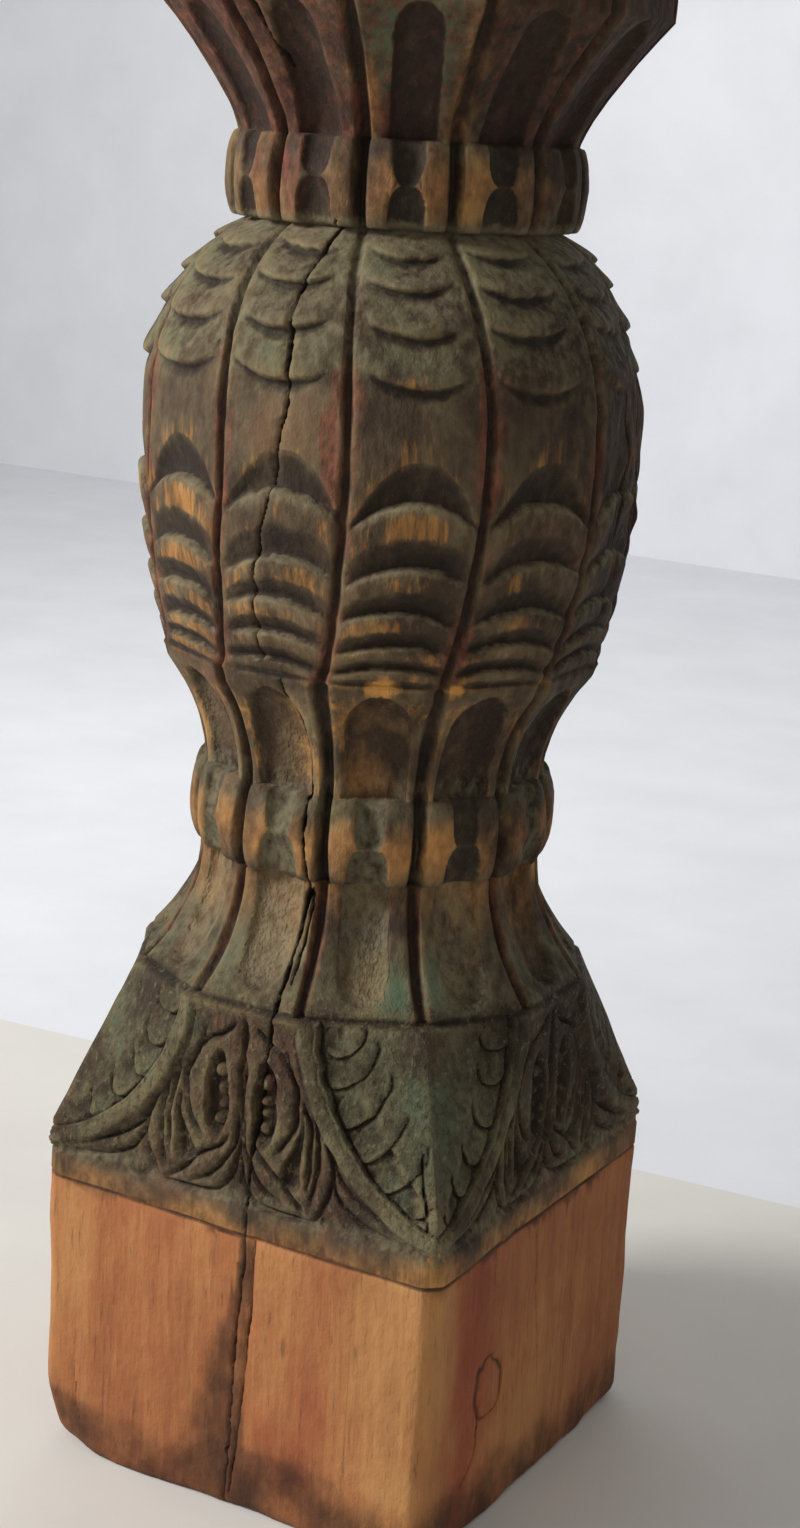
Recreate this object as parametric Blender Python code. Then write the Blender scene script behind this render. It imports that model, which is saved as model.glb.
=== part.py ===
"""The carved foot of a square wooden pillar, made from one timber.

Units are metres, +Z is up, and the middle of the flat underside is the origin. The timber starts as a square
block. Above it four corner leaves bring the square to twelve sides, and the shaft then runs up through a bell,
a ring, a neck, a scaled pot, a second ring and a flare to a plain lip, where it is cut square.

The surface is built as courses of points laid round the axis, from the underside to the top. Two neighbouring
courses may have different numbers of points, and stitch() joins them.
"""
import math
from collections import namedtuple

import bpy
import numpy as np

# Heights of the stages, from the floor up
BLOCK_HEIGHT = 0.206
LEAF_HEIGHT = 0.123
BELL_HEIGHT = 0.075
LOWER_RING_HEIGHT = 0.053
NECK_HEIGHT = 0.074
POT_HEIGHT = 0.256
UPPER_RING_HEIGHT = 0.049
FLARE_HEIGHT = 0.073
LIP_HEIGHT = 0.047

# Widths: over the corners where a stage has twelve sides, but BASE_WIDTH is over the flats above the leaves
BLOCK_SIDE = 0.286
BASE_WIDTH = 0.280
LOWER_RING_DIAMETER = 0.232
ARRIS_DIAMETER = 0.284
POT_DIAMETER = 0.311
UPPER_RING_DIAMETER = 0.219
LIP_DIAMETER = 0.308

# How far the shaft is drawn in beside each ring
LOWER_RING_SEAT = 0.007
UPPER_RING_SEAT = 0.0055

# The block: worn edges, and the line cut round it, a little below the carving
BLOCK_CORNER_CHAMFER = 0.009
BLOCK_FOOT_CHAMFER = 0.008
BLOCK_LINE_DROP = 0.020
BLOCK_LINE_WIDTH = 0.003
BLOCK_LINE_DEPTH = 0.002

# Twelve panels, with a groove between each two
PANELS = 12
GROOVE_WIDTH = 0.010
GROOVE_DEPTH = 0.008
POT_GROOVE_WIDTH = 0.009
POT_GROOVE_DEPTH = 0.0045
BASE_GROOVE_WIDTH = 0.006
BASE_GROOVE_DEPTH = 0.003

# The pot's grooves wander round the shaft, by this many degrees at mid height
POT_DRIFT = 5.5

# Hollow channels of the bell, the neck and the flare
BELL_CHANNEL_WIDTH = 0.029
NECK_CHANNEL_WIDTH = 0.035
FLARE_CHANNEL_WIDTH = 0.030
CHANNEL_DEPTH = 0.006
CHANNEL_END_MARGIN = 0.008
FLARE_END_MARGIN = 0.003

# Two scoops on each lobe of a ring, meeting at mid height
SCOOP_WIDTH = 0.021
SCOOP_WAIST = 0.011
SCOOP_DEPTH = 0.005
SCOOP_WAIST_DEPTH = 0.25

# Overlapping scales on the pot: hanging ones above, arched ones below
SCALE_ROWS = 4
SCALE_LIP = 0.0032
ARCH_ROWS = 5
ARCH_LIP = 0.0022
ARCH_HOLLOW = 0.0030

# The carving between the corner leaves, and the leaves themselves
PALMETTE_DEPTH = 0.0025
STEM_DEPTH = 0.0030
SOCKET_DEPTH = 0.0080
HOLLOW_DEPTH = 0.0060
RIM_WIDTH = 0.012
RIM_HEIGHT = 0.0025
RIM_GROOVE = 0.003
LOBE_COUNT = 5
LOBE_STEP = 0.0045
MIDRIB_WIDTH = 0.022

# Carving that is a share of its own stage or spacing
SCALE_SPAN = 0.325
SCALE_GROWTH = 1.25
SCALE_SAG = 0.30
ARCH_SPAN = 0.433
ARCH_GROWTH = 1.33
ARCH_RISE = 0.40
EDGE_SHARE = 0.10
SCALE_REACH = 0.86
HOLLOW_RISE = 0.25
HOLLOW_BOW = 0.45
RIM_POWER = 1.8
RIM_REACH = 0.97
RIM_LIMIT = 0.93
RIDGE_REACH = 0.86
LOBE_SPAN = 0.90
LOBE_SAG = 0.035
LOBE_GAP = 0.02
RIM_AND_RIB_SHARE = 0.6

# The palmettes' oval sockets and the hollows beside them: across is a share of half the face, down of the leaves
SOCKET_ACROSS = 0.12
SOCKET_DOWN = 0.49
SOCKET_HALF_ACROSS = 0.08
SOCKET_HALF_DOWN = 0.26
HOLLOW_ACROSS = 0.29
HOLLOW_DOWN = 0.77
HOLLOW_HALF_ACROSS = 0.09
HOLLOW_HALF_DOWN = 0.18
STEM_REACH = 0.05
CARVING_FADES_FROM_TOP = 0.14
CARVING_FADES_TO_FOOT = 0.93

# Where courses of points lie, as shares of their own stage, and how many points cross the flat between two leaves
FACE_POINTS = 7
BELL_LEVELS = (0.04, 0.13, 0.32, 0.62)
RING_LEVELS = (0.0, 0.14, 0.5, 0.86, 1.0)
NECK_LEVELS = (0.35, 0.68, 0.88, 1.0)
FLARE_LEVELS = (0.25, 0.55, 0.80, 0.93)
SCALE_POINT = 0.45

# How flat each panel is: 0 follows a circle, 1 is a flat facet
SHAFT_FLATNESS = 1.0
RING_FLATNESS = 0.4
POT_FLATNESS = 0.35

# How square the section of a ring is: 1 is a half circle, less is fuller
RING_FULLNESS = 0.7

# A hollow's narrowest and widest half, as a share of half a panel, and where its floor bends
NARROWEST_HOLLOW = 0.06
WIDEST_HOLLOW = 0.78
HOLLOW_FLOOR = 0.72

# How thick the curve of the pot is, above and below its widest level
POT_BELLY = 0.51
POT_TOP_POWER = 2.5
POT_TOP_REACH = 1.14
POT_FOOT_REACH = 1.98

# Levels and sizes that follow from the ones above
LEAF_FOOT = BLOCK_HEIGHT
BELL_FOOT = LEAF_FOOT + LEAF_HEIGHT
LOWER_RING_FOOT = BELL_FOOT + BELL_HEIGHT
NECK_FOOT = LOWER_RING_FOOT + LOWER_RING_HEIGHT
POT_FOOT = NECK_FOOT + NECK_HEIGHT
UPPER_RING_FOOT = POT_FOOT + POT_HEIGHT
FLARE_FOOT = UPPER_RING_FOOT + UPPER_RING_HEIGHT
LIP_FOOT = FLARE_FOOT + FLARE_HEIGHT
TOP = LIP_FOOT + LIP_HEIGHT
HALF_SIDE = BLOCK_SIDE / 2
HALF_PANEL = math.pi / PANELS
QUARTER = math.pi / 2
BASE_RADIUS = BASE_WIDTH / 2 / math.cos(HALF_PANEL)
LOWER_SEAT_RADIUS = LOWER_RING_DIAMETER / 2 - LOWER_RING_SEAT
UPPER_SEAT_RADIUS = UPPER_RING_DIAMETER / 2 - UPPER_RING_SEAT

Course = namedtuple("Course", "angles points")


def share(value, start, end):
    """Where value lies between start and end, from 0 to 1."""
    return np.clip((value - start) / (end - start), 0, 1)


def dome(value):
    """A half-round hump: 1 at value 0, and 0 where value is -1 or 1."""
    return np.sqrt(np.clip(1 - value * value, 0, 1))


def make_course(angles, heights, radii, drift=0.0):
    """Points round the axis; angles order the points, and drift only turns where they lie."""
    angles = np.asarray(angles, float)
    heights = np.broadcast_to(heights, angles.shape)
    turned = angles + np.broadcast_to(drift, angles.shape)
    points = np.stack([radii * np.cos(turned), radii * np.sin(turned), heights], axis=-1)
    return Course(angles, points)


def panel_course(shares, heights, radii, drift=0.0):
    """One panel's points, given from side to side as shares from -1 to just below 1, on all twelve panels."""
    shares = np.asarray(shares, float)
    heights = np.broadcast_to(heights, shares.shape)
    drift = np.broadcast_to(drift, shares.shape)
    first = -QUARTER / 2 + HALF_PANEL
    angles = [first + (2 * number + shares) * HALF_PANEL for number in range(PANELS)]
    return make_course(np.concatenate(angles), np.tile(heights, PANELS), np.tile(radii, PANELS),
                       np.tile(drift, PANELS))


def faceted(radius, shares, flatness):
    """The radius across a panel whose corners lie on the given radius."""
    flat = math.cos(HALF_PANEL) / np.cos(shares * HALF_PANEL)
    return radius * (1 + flatness * (flat - 1))


def groove_share(radius, width):
    """The part of a half panel that one half of a groove takes."""
    return min(width / 2 / (radius * HALF_PANEL), 0.4)


def groove_cut(shares, radius, width, depth):
    """A V-shaped cut along both sides of a panel."""
    beside = (1 - np.abs(shares)) / groove_share(radius, width)
    return depth * np.clip(1 - beside, 0, 1)


def channel_half_width(from_end, width):
    """Half the width of a channel with a round end."""
    radius = width / 2
    along = np.clip(from_end / radius, 0, 1)
    return radius * np.sqrt(along * (2 - along))


def panel_points(radius, half_width, depth, flatness):
    """The shares of one panel that has a hollow along its middle, and the radius at each."""
    edge = min(max(half_width / (radius * HALF_PANEL), NARROWEST_HOLLOW), WIDEST_HOLLOW)
    groove = groove_share(radius, GROOVE_WIDTH)
    shares = np.array([-1, -1 + groove, -edge, -edge * HOLLOW_FLOOR, 0, edge * HOLLOW_FLOOR, edge, 1 - groove])
    hollow = dome(np.clip(shares / edge, -1, 1)) * depth
    radii = faceted(radius, shares, flatness) - groove_cut(shares, radius, GROOVE_WIDTH, GROOVE_DEPTH)
    return shares, radii - hollow


def channel_course(level, radius, from_end, width):
    """A course across a channel, which is shallower where its round end begins."""
    half_width = float(channel_half_width(from_end, width))
    depth = CHANNEL_DEPTH * min(1, 4 * half_width / width)
    shares, radii = panel_points(radius, half_width, depth, SHAFT_FLATNESS)
    return panel_course(shares, level, radii)


def bell_radius(level):
    """Hollow curve from the leaves up to the lower ring."""
    up = share(level, BELL_FOOT, LOWER_RING_FOOT)
    return LOWER_SEAT_RADIUS + (BASE_RADIUS - LOWER_SEAT_RADIUS) * (1 - up) ** 2


def neck_radius(level):
    """Hollow curve from the lower ring out to the arris under the pot."""
    up = share(level, NECK_FOOT, POT_FOOT)
    return LOWER_SEAT_RADIUS + (ARRIS_DIAMETER / 2 - LOWER_SEAT_RADIUS) * up ** 2


def flare_radius(level):
    """Hollow curve from the upper ring out to the lip."""
    up = share(level, FLARE_FOOT, LIP_FOOT)
    return UPPER_SEAT_RADIUS + (LIP_DIAMETER / 2 - UPPER_SEAT_RADIUS) * up ** 1.3


def pot_radius(level):
    """The pot's round side: a fuller curve above its widest level than below it."""
    from_belly = (level - POT_FOOT) / POT_HEIGHT - POT_BELLY
    above = np.clip(from_belly / ((1 - POT_BELLY) * POT_TOP_REACH), 0, 1) ** POT_TOP_POWER
    below = np.clip(-from_belly / (POT_BELLY * POT_FOOT_REACH), 0, 1) ** 2
    return POT_DIAMETER / 2 * (1 - above) ** (1 / POT_TOP_POWER) * np.sqrt(1 - below)


def pot_drift(level):
    """How far the grooves have wandered round at a level of the pot, in radians."""
    up = share(level, POT_FOOT, UPPER_RING_FOOT)
    return math.radians(POT_DRIFT) * np.sin(math.pi * up) ** 0.75


def spaced_rows(span, growth, count):
    """Distances of the rows from their end of the pot, and the spacing before each, growing row by row."""
    steps = growth ** np.arange(count)
    steps = steps * span / steps.sum()
    return np.cumsum(steps), steps


def block_courses():
    """The plain block: a chamfered foot, chamfered corners and the line cut round it."""
    corner = math.atan((HALF_SIDE - BLOCK_CORNER_CHAMFER) / HALF_SIDE)
    quarter = np.array([-QUARTER / 2, -corner, 0, corner])
    angles = np.concatenate([turn * QUARTER + quarter for turn in range(4)])
    across = np.tile([math.sqrt(0.5) * (BLOCK_SIDE - BLOCK_CORNER_CHAMFER), HALF_SIDE / math.cos(corner), HALF_SIDE,
                      HALF_SIDE / math.cos(corner)], 4)
    line = BLOCK_HEIGHT - BLOCK_LINE_DROP
    half_line = BLOCK_LINE_WIDTH / 2
    inset = BLOCK_FOOT_CHAMFER / HALF_SIDE
    return [make_course(angles, 0.0, across * (1 - inset)),
            make_course(angles, BLOCK_FOOT_CHAMFER, across),
            make_course(angles, line - half_line, across),
            make_course(angles, line, across - BLOCK_LINE_DEPTH),
            make_course(angles, line + half_line, across)]


def rim_share(down):
    """Where the leaf's rim crosses the face, as a share of half the side; down is 0 at the top, 1 at the foot."""
    top = math.tan(HALF_PANEL)
    curve = (1 - np.clip(down / RIM_REACH, 0, 1) ** RIM_POWER) ** (1 / RIM_POWER)
    return np.minimum(1 - (1 - top) * curve, RIM_LIMIT)


def corner_radius(down):
    """Distance of the leaf's ridge from the axis, growing until it reaches the block's corner."""
    chamfered = math.sqrt(0.5) * (BLOCK_SIDE - BLOCK_CORNER_CHAMFER)
    return BASE_RADIUS + (chamfered - BASE_RADIUS) * share(down, 0, RIDGE_REACH)


def leaf_radius(across, down):
    """The uncarved form: the face out to the leaf's rim, then a facet from the rim to the ridge."""
    angle = np.arctan(across)
    face = (BASE_WIDTH + (BLOCK_SIDE - BASE_WIDTH) * down) / 2
    rim = rim_share(down) * face
    ridge = corner_radius(down) * math.sqrt(0.5)
    facet = (face - ridge) * rim + (ridge - rim) * face
    facet = facet / ((face - ridge) * np.sin(angle) + (ridge - rim) * np.cos(angle))
    return np.where(across <= rim_share(down), face / np.cos(angle), facet)


def palmette_cut(across, down):
    """Depth of the carving between two leaves: a round mass beside a stem, with a socket and a hollow in it."""
    stem = 1 - share(across, 0, STEM_REACH)
    socket = dome((across - SOCKET_ACROSS) / SOCKET_HALF_ACROSS) * dome((down - SOCKET_DOWN) / SOCKET_HALF_DOWN)
    hollow = dome((across - HOLLOW_ACROSS) / HOLLOW_HALF_ACROSS) * dome((down - HOLLOW_DOWN) / HOLLOW_HALF_DOWN)
    fade = share(down, 0, CARVING_FADES_FROM_TOP) * (1 - share(down, CARVING_FADES_TO_FOOT, 1))
    return fade * (PALMETTE_DEPTH + STEM_DEPTH * stem + SOCKET_DEPTH * socket + HOLLOW_DEPTH * hollow)


def leaf_courses():
    """Corner leaves and the carving between them; each lobe of a leaf has a course above and below its edge."""
    rim_width = RIM_WIDTH / HALF_SIDE
    rib_half = MIDRIB_WIDTH / 2 / HALF_SIDE
    gap = BASE_GROOVE_WIDTH / 2 / LEAF_HEIGHT
    edges = LOBE_SPAN * (np.arange(LOBE_COUNT) + 1) / LOBE_COUNT
    levels = [(1.0, 0, 0)]
    for edge in edges[::-1]:
        levels += [(edge + LOBE_GAP, LOBE_STEP, 1), (edge - LOBE_GAP, 0, 1)]
    levels.append((gap, 0, 0))
    courses = []
    for down, step, bend in levels:
        rim = float(rim_share(down))
        room = 1 - rim
        scale = min(1, room / (rim_width + rib_half) * RIM_AND_RIB_SHARE)
        inner = rim + rim_width * scale
        rib = 1 - rib_half * scale
        face = rim * np.arange(FACE_POINTS) / FACE_POINTS
        leaf = np.array([rim, rim + rim_width * scale / 2, inner, inner + (rib - inner) * 0.3,
                         inner + (rib - inner) * 0.7, rib])
        across = np.concatenate([face, leaf, [1.0]])
        sag = np.zeros(len(across))
        sag[len(face) + 3:len(face) + 5] = LOBE_SAG * bend * scale
        sunk = np.zeros(len(across))
        sunk[len(face):] = np.array([RIM_GROOVE, -RIM_HEIGHT, RIM_GROOVE, step, step, RIM_GROOVE, 0.0]) * scale
        sunk[:len(face)] = palmette_cut(face, down)
        below = np.clip(down + sag, gap, 1)
        radii = leaf_radius(across, below) - sunk * share(1 - down, 0, 0.05)
        heights = BELL_FOOT - below * LEAF_HEIGHT
        signed = np.concatenate([-across[::-1], across[1:-1]])
        mirror = np.concatenate([np.arange(len(across))[::-1], np.arange(1, len(across) - 1)])
        angles = np.concatenate([turn * QUARTER + np.arctan(signed) for turn in range(4)])
        courses.append(make_course(angles, np.tile(heights[mirror], 4), np.tile(radii[mirror], 4)))
    return courses


def bell_courses():
    """The groove over the leaves, then the bell with a channel on each panel, closed round at its foot."""
    shares, radii = panel_points(BASE_RADIUS, 0.0, 0.0, SHAFT_FLATNESS)
    courses = [panel_course(shares, BELL_FOOT, radii - BASE_GROOVE_DEPTH)]
    for up in BELL_LEVELS:
        level = BELL_FOOT + up * BELL_HEIGHT
        from_end = level - BELL_FOOT - CHANNEL_END_MARGIN
        courses.append(channel_course(level, float(bell_radius(level)), from_end, BELL_CHANNEL_WIDTH))
    return courses


def ring_courses(foot, height, diameter, seat_radius, width_below, width_above):
    """A ring of twelve lobes, with one scoop down from its top and one up from its foot on each."""
    bulge = diameter / 2 - seat_radius
    courses = []
    for up in RING_LEVELS:
        from_middle = abs(2 * up - 1)
        radius = seat_radius + bulge * float(dome(2 * up - 1)) ** RING_FULLNESS
        width = SCOOP_WAIST + (SCOOP_WIDTH - SCOOP_WAIST) * from_middle
        depth = SCOOP_DEPTH * (SCOOP_WAIST_DEPTH + (1 - SCOOP_WAIST_DEPTH) * from_middle)
        if up in (0.0, 1.0):
            width = width_above if up else width_below
            depth = CHANNEL_DEPTH
        shares, radii = panel_points(radius, width / 2, depth, RING_FLATNESS)
        courses.append(panel_course(shares, foot + up * height, radii))
    return courses


def neck_courses():
    """The neck, with a channel on each panel that ends round below the arris."""
    courses = []
    for up in NECK_LEVELS:
        level = NECK_FOOT + up * NECK_HEIGHT
        from_end = POT_FOOT - CHANNEL_END_MARGIN - level
        courses.append(channel_course(level, float(neck_radius(level)), from_end, NECK_CHANNEL_WIDTH))
    return courses


def pot_courses():
    """The pot: arched scales up to its hollow, a plain band, then hanging scales under the upper ring."""
    groove = groove_share(POT_DIAMETER / 2, POT_GROOVE_WIDTH)
    shares = np.array([-1, -1 + groove, -SCALE_POINT, 0, SCALE_POINT, 1 - groove])
    bow = np.clip(1 - (shares / SCALE_REACH) ** 2, 0, 1)
    rows = []
    tops, steps = spaced_rows(ARCH_SPAN * POT_HEIGHT, ARCH_GROWTH, ARCH_ROWS)
    for top, step in zip(tops, steps):
        level = POT_FOOT + top - ARCH_RISE * step * (1 - bow)
        rows.append((level - EDGE_SHARE * step, ARCH_LIP * bow ** 0.5))
        rows.append((level + EDGE_SHARE * step, -ARCH_HOLLOW * bow))
    hollow_end = POT_FOOT + ARCH_SPAN * POT_HEIGHT + steps[-1] * (HOLLOW_RISE + HOLLOW_BOW * bow)
    rows.append((hollow_end, 0 * bow))
    drops, steps = spaced_rows(SCALE_SPAN * POT_HEIGHT, SCALE_GROWTH, SCALE_ROWS)
    for drop, step in zip(drops[::-1], steps[::-1]):
        level = UPPER_RING_FOOT - drop + SCALE_SAG * step * (1 - bow)
        rows.append((level - EDGE_SHARE * step, 0 * bow))
        rows.append((level + EDGE_SHARE * step, SCALE_LIP * bow ** 0.5))
    courses = []
    for level, proud in rows:
        radius = faceted(pot_radius(level), shares, POT_FLATNESS) + proud
        radius = radius - groove_cut(shares, POT_DIAMETER / 2, POT_GROOVE_WIDTH, POT_GROOVE_DEPTH)
        courses.append(panel_course(shares, level, radius, pot_drift(level)))
    return courses


def flare_courses():
    """The flare, with a channel on each panel that ends round under the lip."""
    courses = []
    for up in FLARE_LEVELS:
        level = FLARE_FOOT + up * FLARE_HEIGHT
        from_end = LIP_FOOT - FLARE_END_MARGIN - level
        courses.append(channel_course(level, float(flare_radius(level)), from_end, FLARE_CHANNEL_WIDTH))
    return courses


def lip_courses():
    """The plain lip, twelve-sided and grooved like the shaft, up to the flat cut."""
    radius = LIP_DIAMETER / 2
    groove = groove_share(radius, GROOVE_WIDTH)
    shares = np.array([-1, -1 + groove, 1 - groove])
    radii = faceted(radius, shares, SHAFT_FLATNESS) - groove_cut(shares, radius, GROOVE_WIDTH, GROOVE_DEPTH)
    return [panel_course(shares, LIP_FOOT, radii), panel_course(shares, TOP, radii)]


def stitch(lower, upper, lower_start, upper_start):
    """Faces between two courses, walking round both at once: quads where their points pair up."""
    faces = []
    low, high = 0, 0
    low_count, high_count = len(lower.angles), len(upper.angles)
    turn = 2 * math.pi
    while low < low_count or high < high_count:
        next_low = lower.angles[low + 1] if low + 1 < low_count else lower.angles[0] + turn
        next_high = upper.angles[high + 1] if high + 1 < high_count else upper.angles[0] + turn
        here = [lower_start + low % low_count, upper_start + high % high_count]
        step = [lower_start + (low + 1) % low_count, upper_start + (high + 1) % high_count]
        together = low < low_count and high < high_count and abs(next_low - next_high) < HALF_PANEL * 0.14
        if together:
            faces.append((here[0], step[0], step[1], here[1]))
            low += 1
            high += 1
        elif high >= high_count or (low < low_count and next_low < next_high):
            faces.append((here[0], step[0], here[1]))
            low += 1
        else:
            faces.append((here[0], step[1], here[1]))
            high += 1
    return faces


def build_mesh(name, courses):
    """A closed mesh through all courses, flat at the underside and at the top."""
    starts = np.cumsum([0] + [len(course.angles) for course in courses])
    points = np.concatenate([course.points for course in courses])
    faces = [tuple(range(starts[0], starts[1]))[::-1]]
    for number in range(len(courses) - 1):
        faces += stitch(courses[number], courses[number + 1], int(starts[number]), int(starts[number + 1]))
    faces.append(tuple(range(int(starts[-2]), int(starts[-1]))))
    mesh = bpy.data.meshes.new(name)
    mesh.from_pydata(points.tolist(), [], [tuple(int(corner) for corner in face) for face in faces])
    mesh.update()
    return mesh


def worn_wood():
    """Old painted timber: a dull brown with no shine."""
    material = bpy.data.materials.new("worn_painted_wood")
    material.use_nodes = True
    shader = material.node_tree.nodes["Principled BSDF"]
    shader.inputs["Base Color"].default_value = (0.16, 0.11, 0.07, 1)
    shader.inputs["Roughness"].default_value = 0.8
    shader.inputs["Metallic"].default_value = 0.0
    return material


def main():
    for thing in list(bpy.data.objects):
        bpy.data.objects.remove(thing, do_unlink=True)
    courses = block_courses() + leaf_courses() + bell_courses()
    courses += ring_courses(LOWER_RING_FOOT, LOWER_RING_HEIGHT, LOWER_RING_DIAMETER, LOWER_SEAT_RADIUS,
                            BELL_CHANNEL_WIDTH, NECK_CHANNEL_WIDTH)
    courses += neck_courses() + pot_courses()
    courses += ring_courses(UPPER_RING_FOOT, UPPER_RING_HEIGHT, UPPER_RING_DIAMETER, UPPER_SEAT_RADIUS,
                            SCOOP_WIDTH, FLARE_CHANNEL_WIDTH)
    courses += flare_courses() + lip_courses()
    mesh = build_mesh("pillar", courses)
    mesh.materials.append(worn_wood())
    pillar = bpy.data.objects.new("pillar", mesh)
    bpy.context.scene.collection.objects.link(pillar)
    mesh.shade_smooth()
    mesh.set_sharp_from_angle(angle=math.radians(30))
    triangles = sum(len(face.vertices) - 2 for face in mesh.polygons)
    print("pillar:", len(courses), "courses,", triangles, "triangles, height", round(TOP, 4))


main()
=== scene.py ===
# %% [markdown]
# # The carved foot of a wooden pillar
#
# One timber, carved all over and then weathered for a long time. The packed model gives its size, its place
# and its main forms. This file lays a finer carved skin over the same forms, gives it old paint and bare
# wood, and lights it.

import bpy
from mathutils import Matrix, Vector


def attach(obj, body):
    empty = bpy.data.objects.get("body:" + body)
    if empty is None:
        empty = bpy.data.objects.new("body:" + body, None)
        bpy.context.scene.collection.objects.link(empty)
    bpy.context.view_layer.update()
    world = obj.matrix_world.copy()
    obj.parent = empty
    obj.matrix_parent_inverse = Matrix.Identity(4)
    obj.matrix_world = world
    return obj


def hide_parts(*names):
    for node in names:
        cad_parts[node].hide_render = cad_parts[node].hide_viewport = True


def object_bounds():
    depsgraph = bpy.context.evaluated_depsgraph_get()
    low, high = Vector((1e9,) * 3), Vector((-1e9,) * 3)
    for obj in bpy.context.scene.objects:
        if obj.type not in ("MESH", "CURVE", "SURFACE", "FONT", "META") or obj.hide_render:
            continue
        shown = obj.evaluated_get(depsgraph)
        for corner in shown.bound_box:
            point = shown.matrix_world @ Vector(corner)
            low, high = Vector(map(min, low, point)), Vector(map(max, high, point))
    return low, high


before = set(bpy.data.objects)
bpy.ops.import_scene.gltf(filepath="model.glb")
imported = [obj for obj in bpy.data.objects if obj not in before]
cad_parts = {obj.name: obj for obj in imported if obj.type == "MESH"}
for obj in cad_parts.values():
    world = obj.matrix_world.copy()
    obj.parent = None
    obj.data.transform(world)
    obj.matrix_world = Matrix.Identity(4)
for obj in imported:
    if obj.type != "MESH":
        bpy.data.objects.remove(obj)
solid_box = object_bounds()
print("nodes:", sorted(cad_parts), "box:", solid_box)

# %% [markdown]
# ## Modules
#
# bpy and mathutils come with Blender. The carving is worked out with numpy, which handles a whole grid of
# points in one step; a Python loop over a million points would take minutes.

# %% Modules
import math

import bpy
import numpy as np
from mathutils import Matrix, Vector

print("Blender", bpy.app.version_string, "with numpy", np.__version__)

# %% [markdown]
# ## The camera
#
# The pillar is seen from a little above, from the front and right, close enough for the block to look
# bigger than the flare. The picture is turned a few degrees, as a hand-held camera turns it. The camera
# could be aimed with a constraint, but its three turns are known, so its axes are worked out and set as a
# matrix.

# %% Camera
CAMERA_PLACE = Vector((0.7617, -1.3436, 0.8479))
CAMERA_PAN = math.radians(28.94)
CAMERA_PITCH = math.radians(14.34)
CAMERA_ROLL = math.radians(3.42)
PHOTO_SIZE = (800, 1528)
FOCAL_PIXELS = 2526.3
SENSOR = 36.0


def add_camera():
    """A camera looking along the pan and pitch, rolled about its own axis."""
    level = Vector((-math.sin(CAMERA_PAN), math.cos(CAMERA_PAN), 0))
    side = Vector((math.cos(CAMERA_PAN), math.sin(CAMERA_PAN), 0))
    ahead = level * math.cos(CAMERA_PITCH) - Vector((0, 0, 1)) * math.sin(CAMERA_PITCH)
    over = Vector((0, 0, 1)) * math.cos(CAMERA_PITCH) + level * math.sin(CAMERA_PITCH)
    right = side * math.cos(CAMERA_ROLL) + over * math.sin(CAMERA_ROLL)
    up = over * math.cos(CAMERA_ROLL) - side * math.sin(CAMERA_ROLL)
    axes = Matrix((right, up, -ahead)).transposed()
    camera = bpy.data.objects.new("camera", bpy.data.cameras.new("camera"))
    camera.matrix_world = Matrix.Translation(CAMERA_PLACE) @ axes.to_4x4()
    camera.data.sensor_width = SENSOR
    camera.data.lens = SENSOR * FOCAL_PIXELS / max(PHOTO_SIZE)
    camera.data.clip_start = 0.05
    bpy.context.scene.collection.objects.link(camera)
    bpy.context.scene.camera = camera
    return camera


camera = add_camera()
print("lens", round(camera.data.lens, 1), "mm")

# %% [markdown]
# ## Sizes
#
# These are the sizes of the solid, repeated in metres because this file can't read the other one. Levels
# are counted from the floor up, stage by stage, so a change to one height moves everything above it.

# %% Sizes of the timber
BLOCK_HEIGHT = 0.206
LEAF_HEIGHT = 0.123
BELL_HEIGHT = 0.075
LOWER_RING_HEIGHT = 0.053
NECK_HEIGHT = 0.074
POT_HEIGHT = 0.256
UPPER_RING_HEIGHT = 0.049
FLARE_HEIGHT = 0.073

BLOCK_SIDE = 0.286
BASE_WIDTH = 0.280
LOWER_RING_DIAMETER = 0.232
ARRIS_DIAMETER = 0.284
POT_DIAMETER = 0.309
UPPER_RING_DIAMETER = 0.219
LIP_DIAMETER = 0.308
LOWER_RING_SEAT = 0.007
UPPER_RING_SEAT = 0.0055

PANELS = 12
HALF_PANEL = math.pi / PANELS
QUARTER = math.pi / 2
FIRST_GROOVE = -QUARTER / 2

BELL_FOOT = BLOCK_HEIGHT + LEAF_HEIGHT
LOWER_RING_FOOT = BELL_FOOT + BELL_HEIGHT
NECK_FOOT = LOWER_RING_FOOT + LOWER_RING_HEIGHT
POT_FOOT = NECK_FOOT + NECK_HEIGHT
UPPER_RING_FOOT = POT_FOOT + POT_HEIGHT
FLARE_FOOT = UPPER_RING_FOOT + UPPER_RING_HEIGHT
LIP_FOOT = FLARE_FOOT + FLARE_HEIGHT
TOP = solid_box[1][2]
BASE_RADIUS = BASE_WIDTH / 2 / math.cos(HALF_PANEL)
LOWER_SEAT = LOWER_RING_DIAMETER / 2 - LOWER_RING_SEAT
UPPER_SEAT = UPPER_RING_DIAMETER / 2 - UPPER_RING_SEAT
print("pot from", round(POT_FOOT, 3), "to", round(UPPER_RING_FOOT, 3), "top", round(TOP, 3))

# %% [markdown]
# ## A skin of points
#
# The carving has no undercut deeper than its own step, so every point of the surface can be given by a
# direction round the axis, a level and a distance from the axis. A fine grid of directions and levels is
# laid out first, and each carved feature is then a change to the distance. Sculpting by hand could give the
# same surface, but a formula can be changed later and comes out the same each time.

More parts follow.
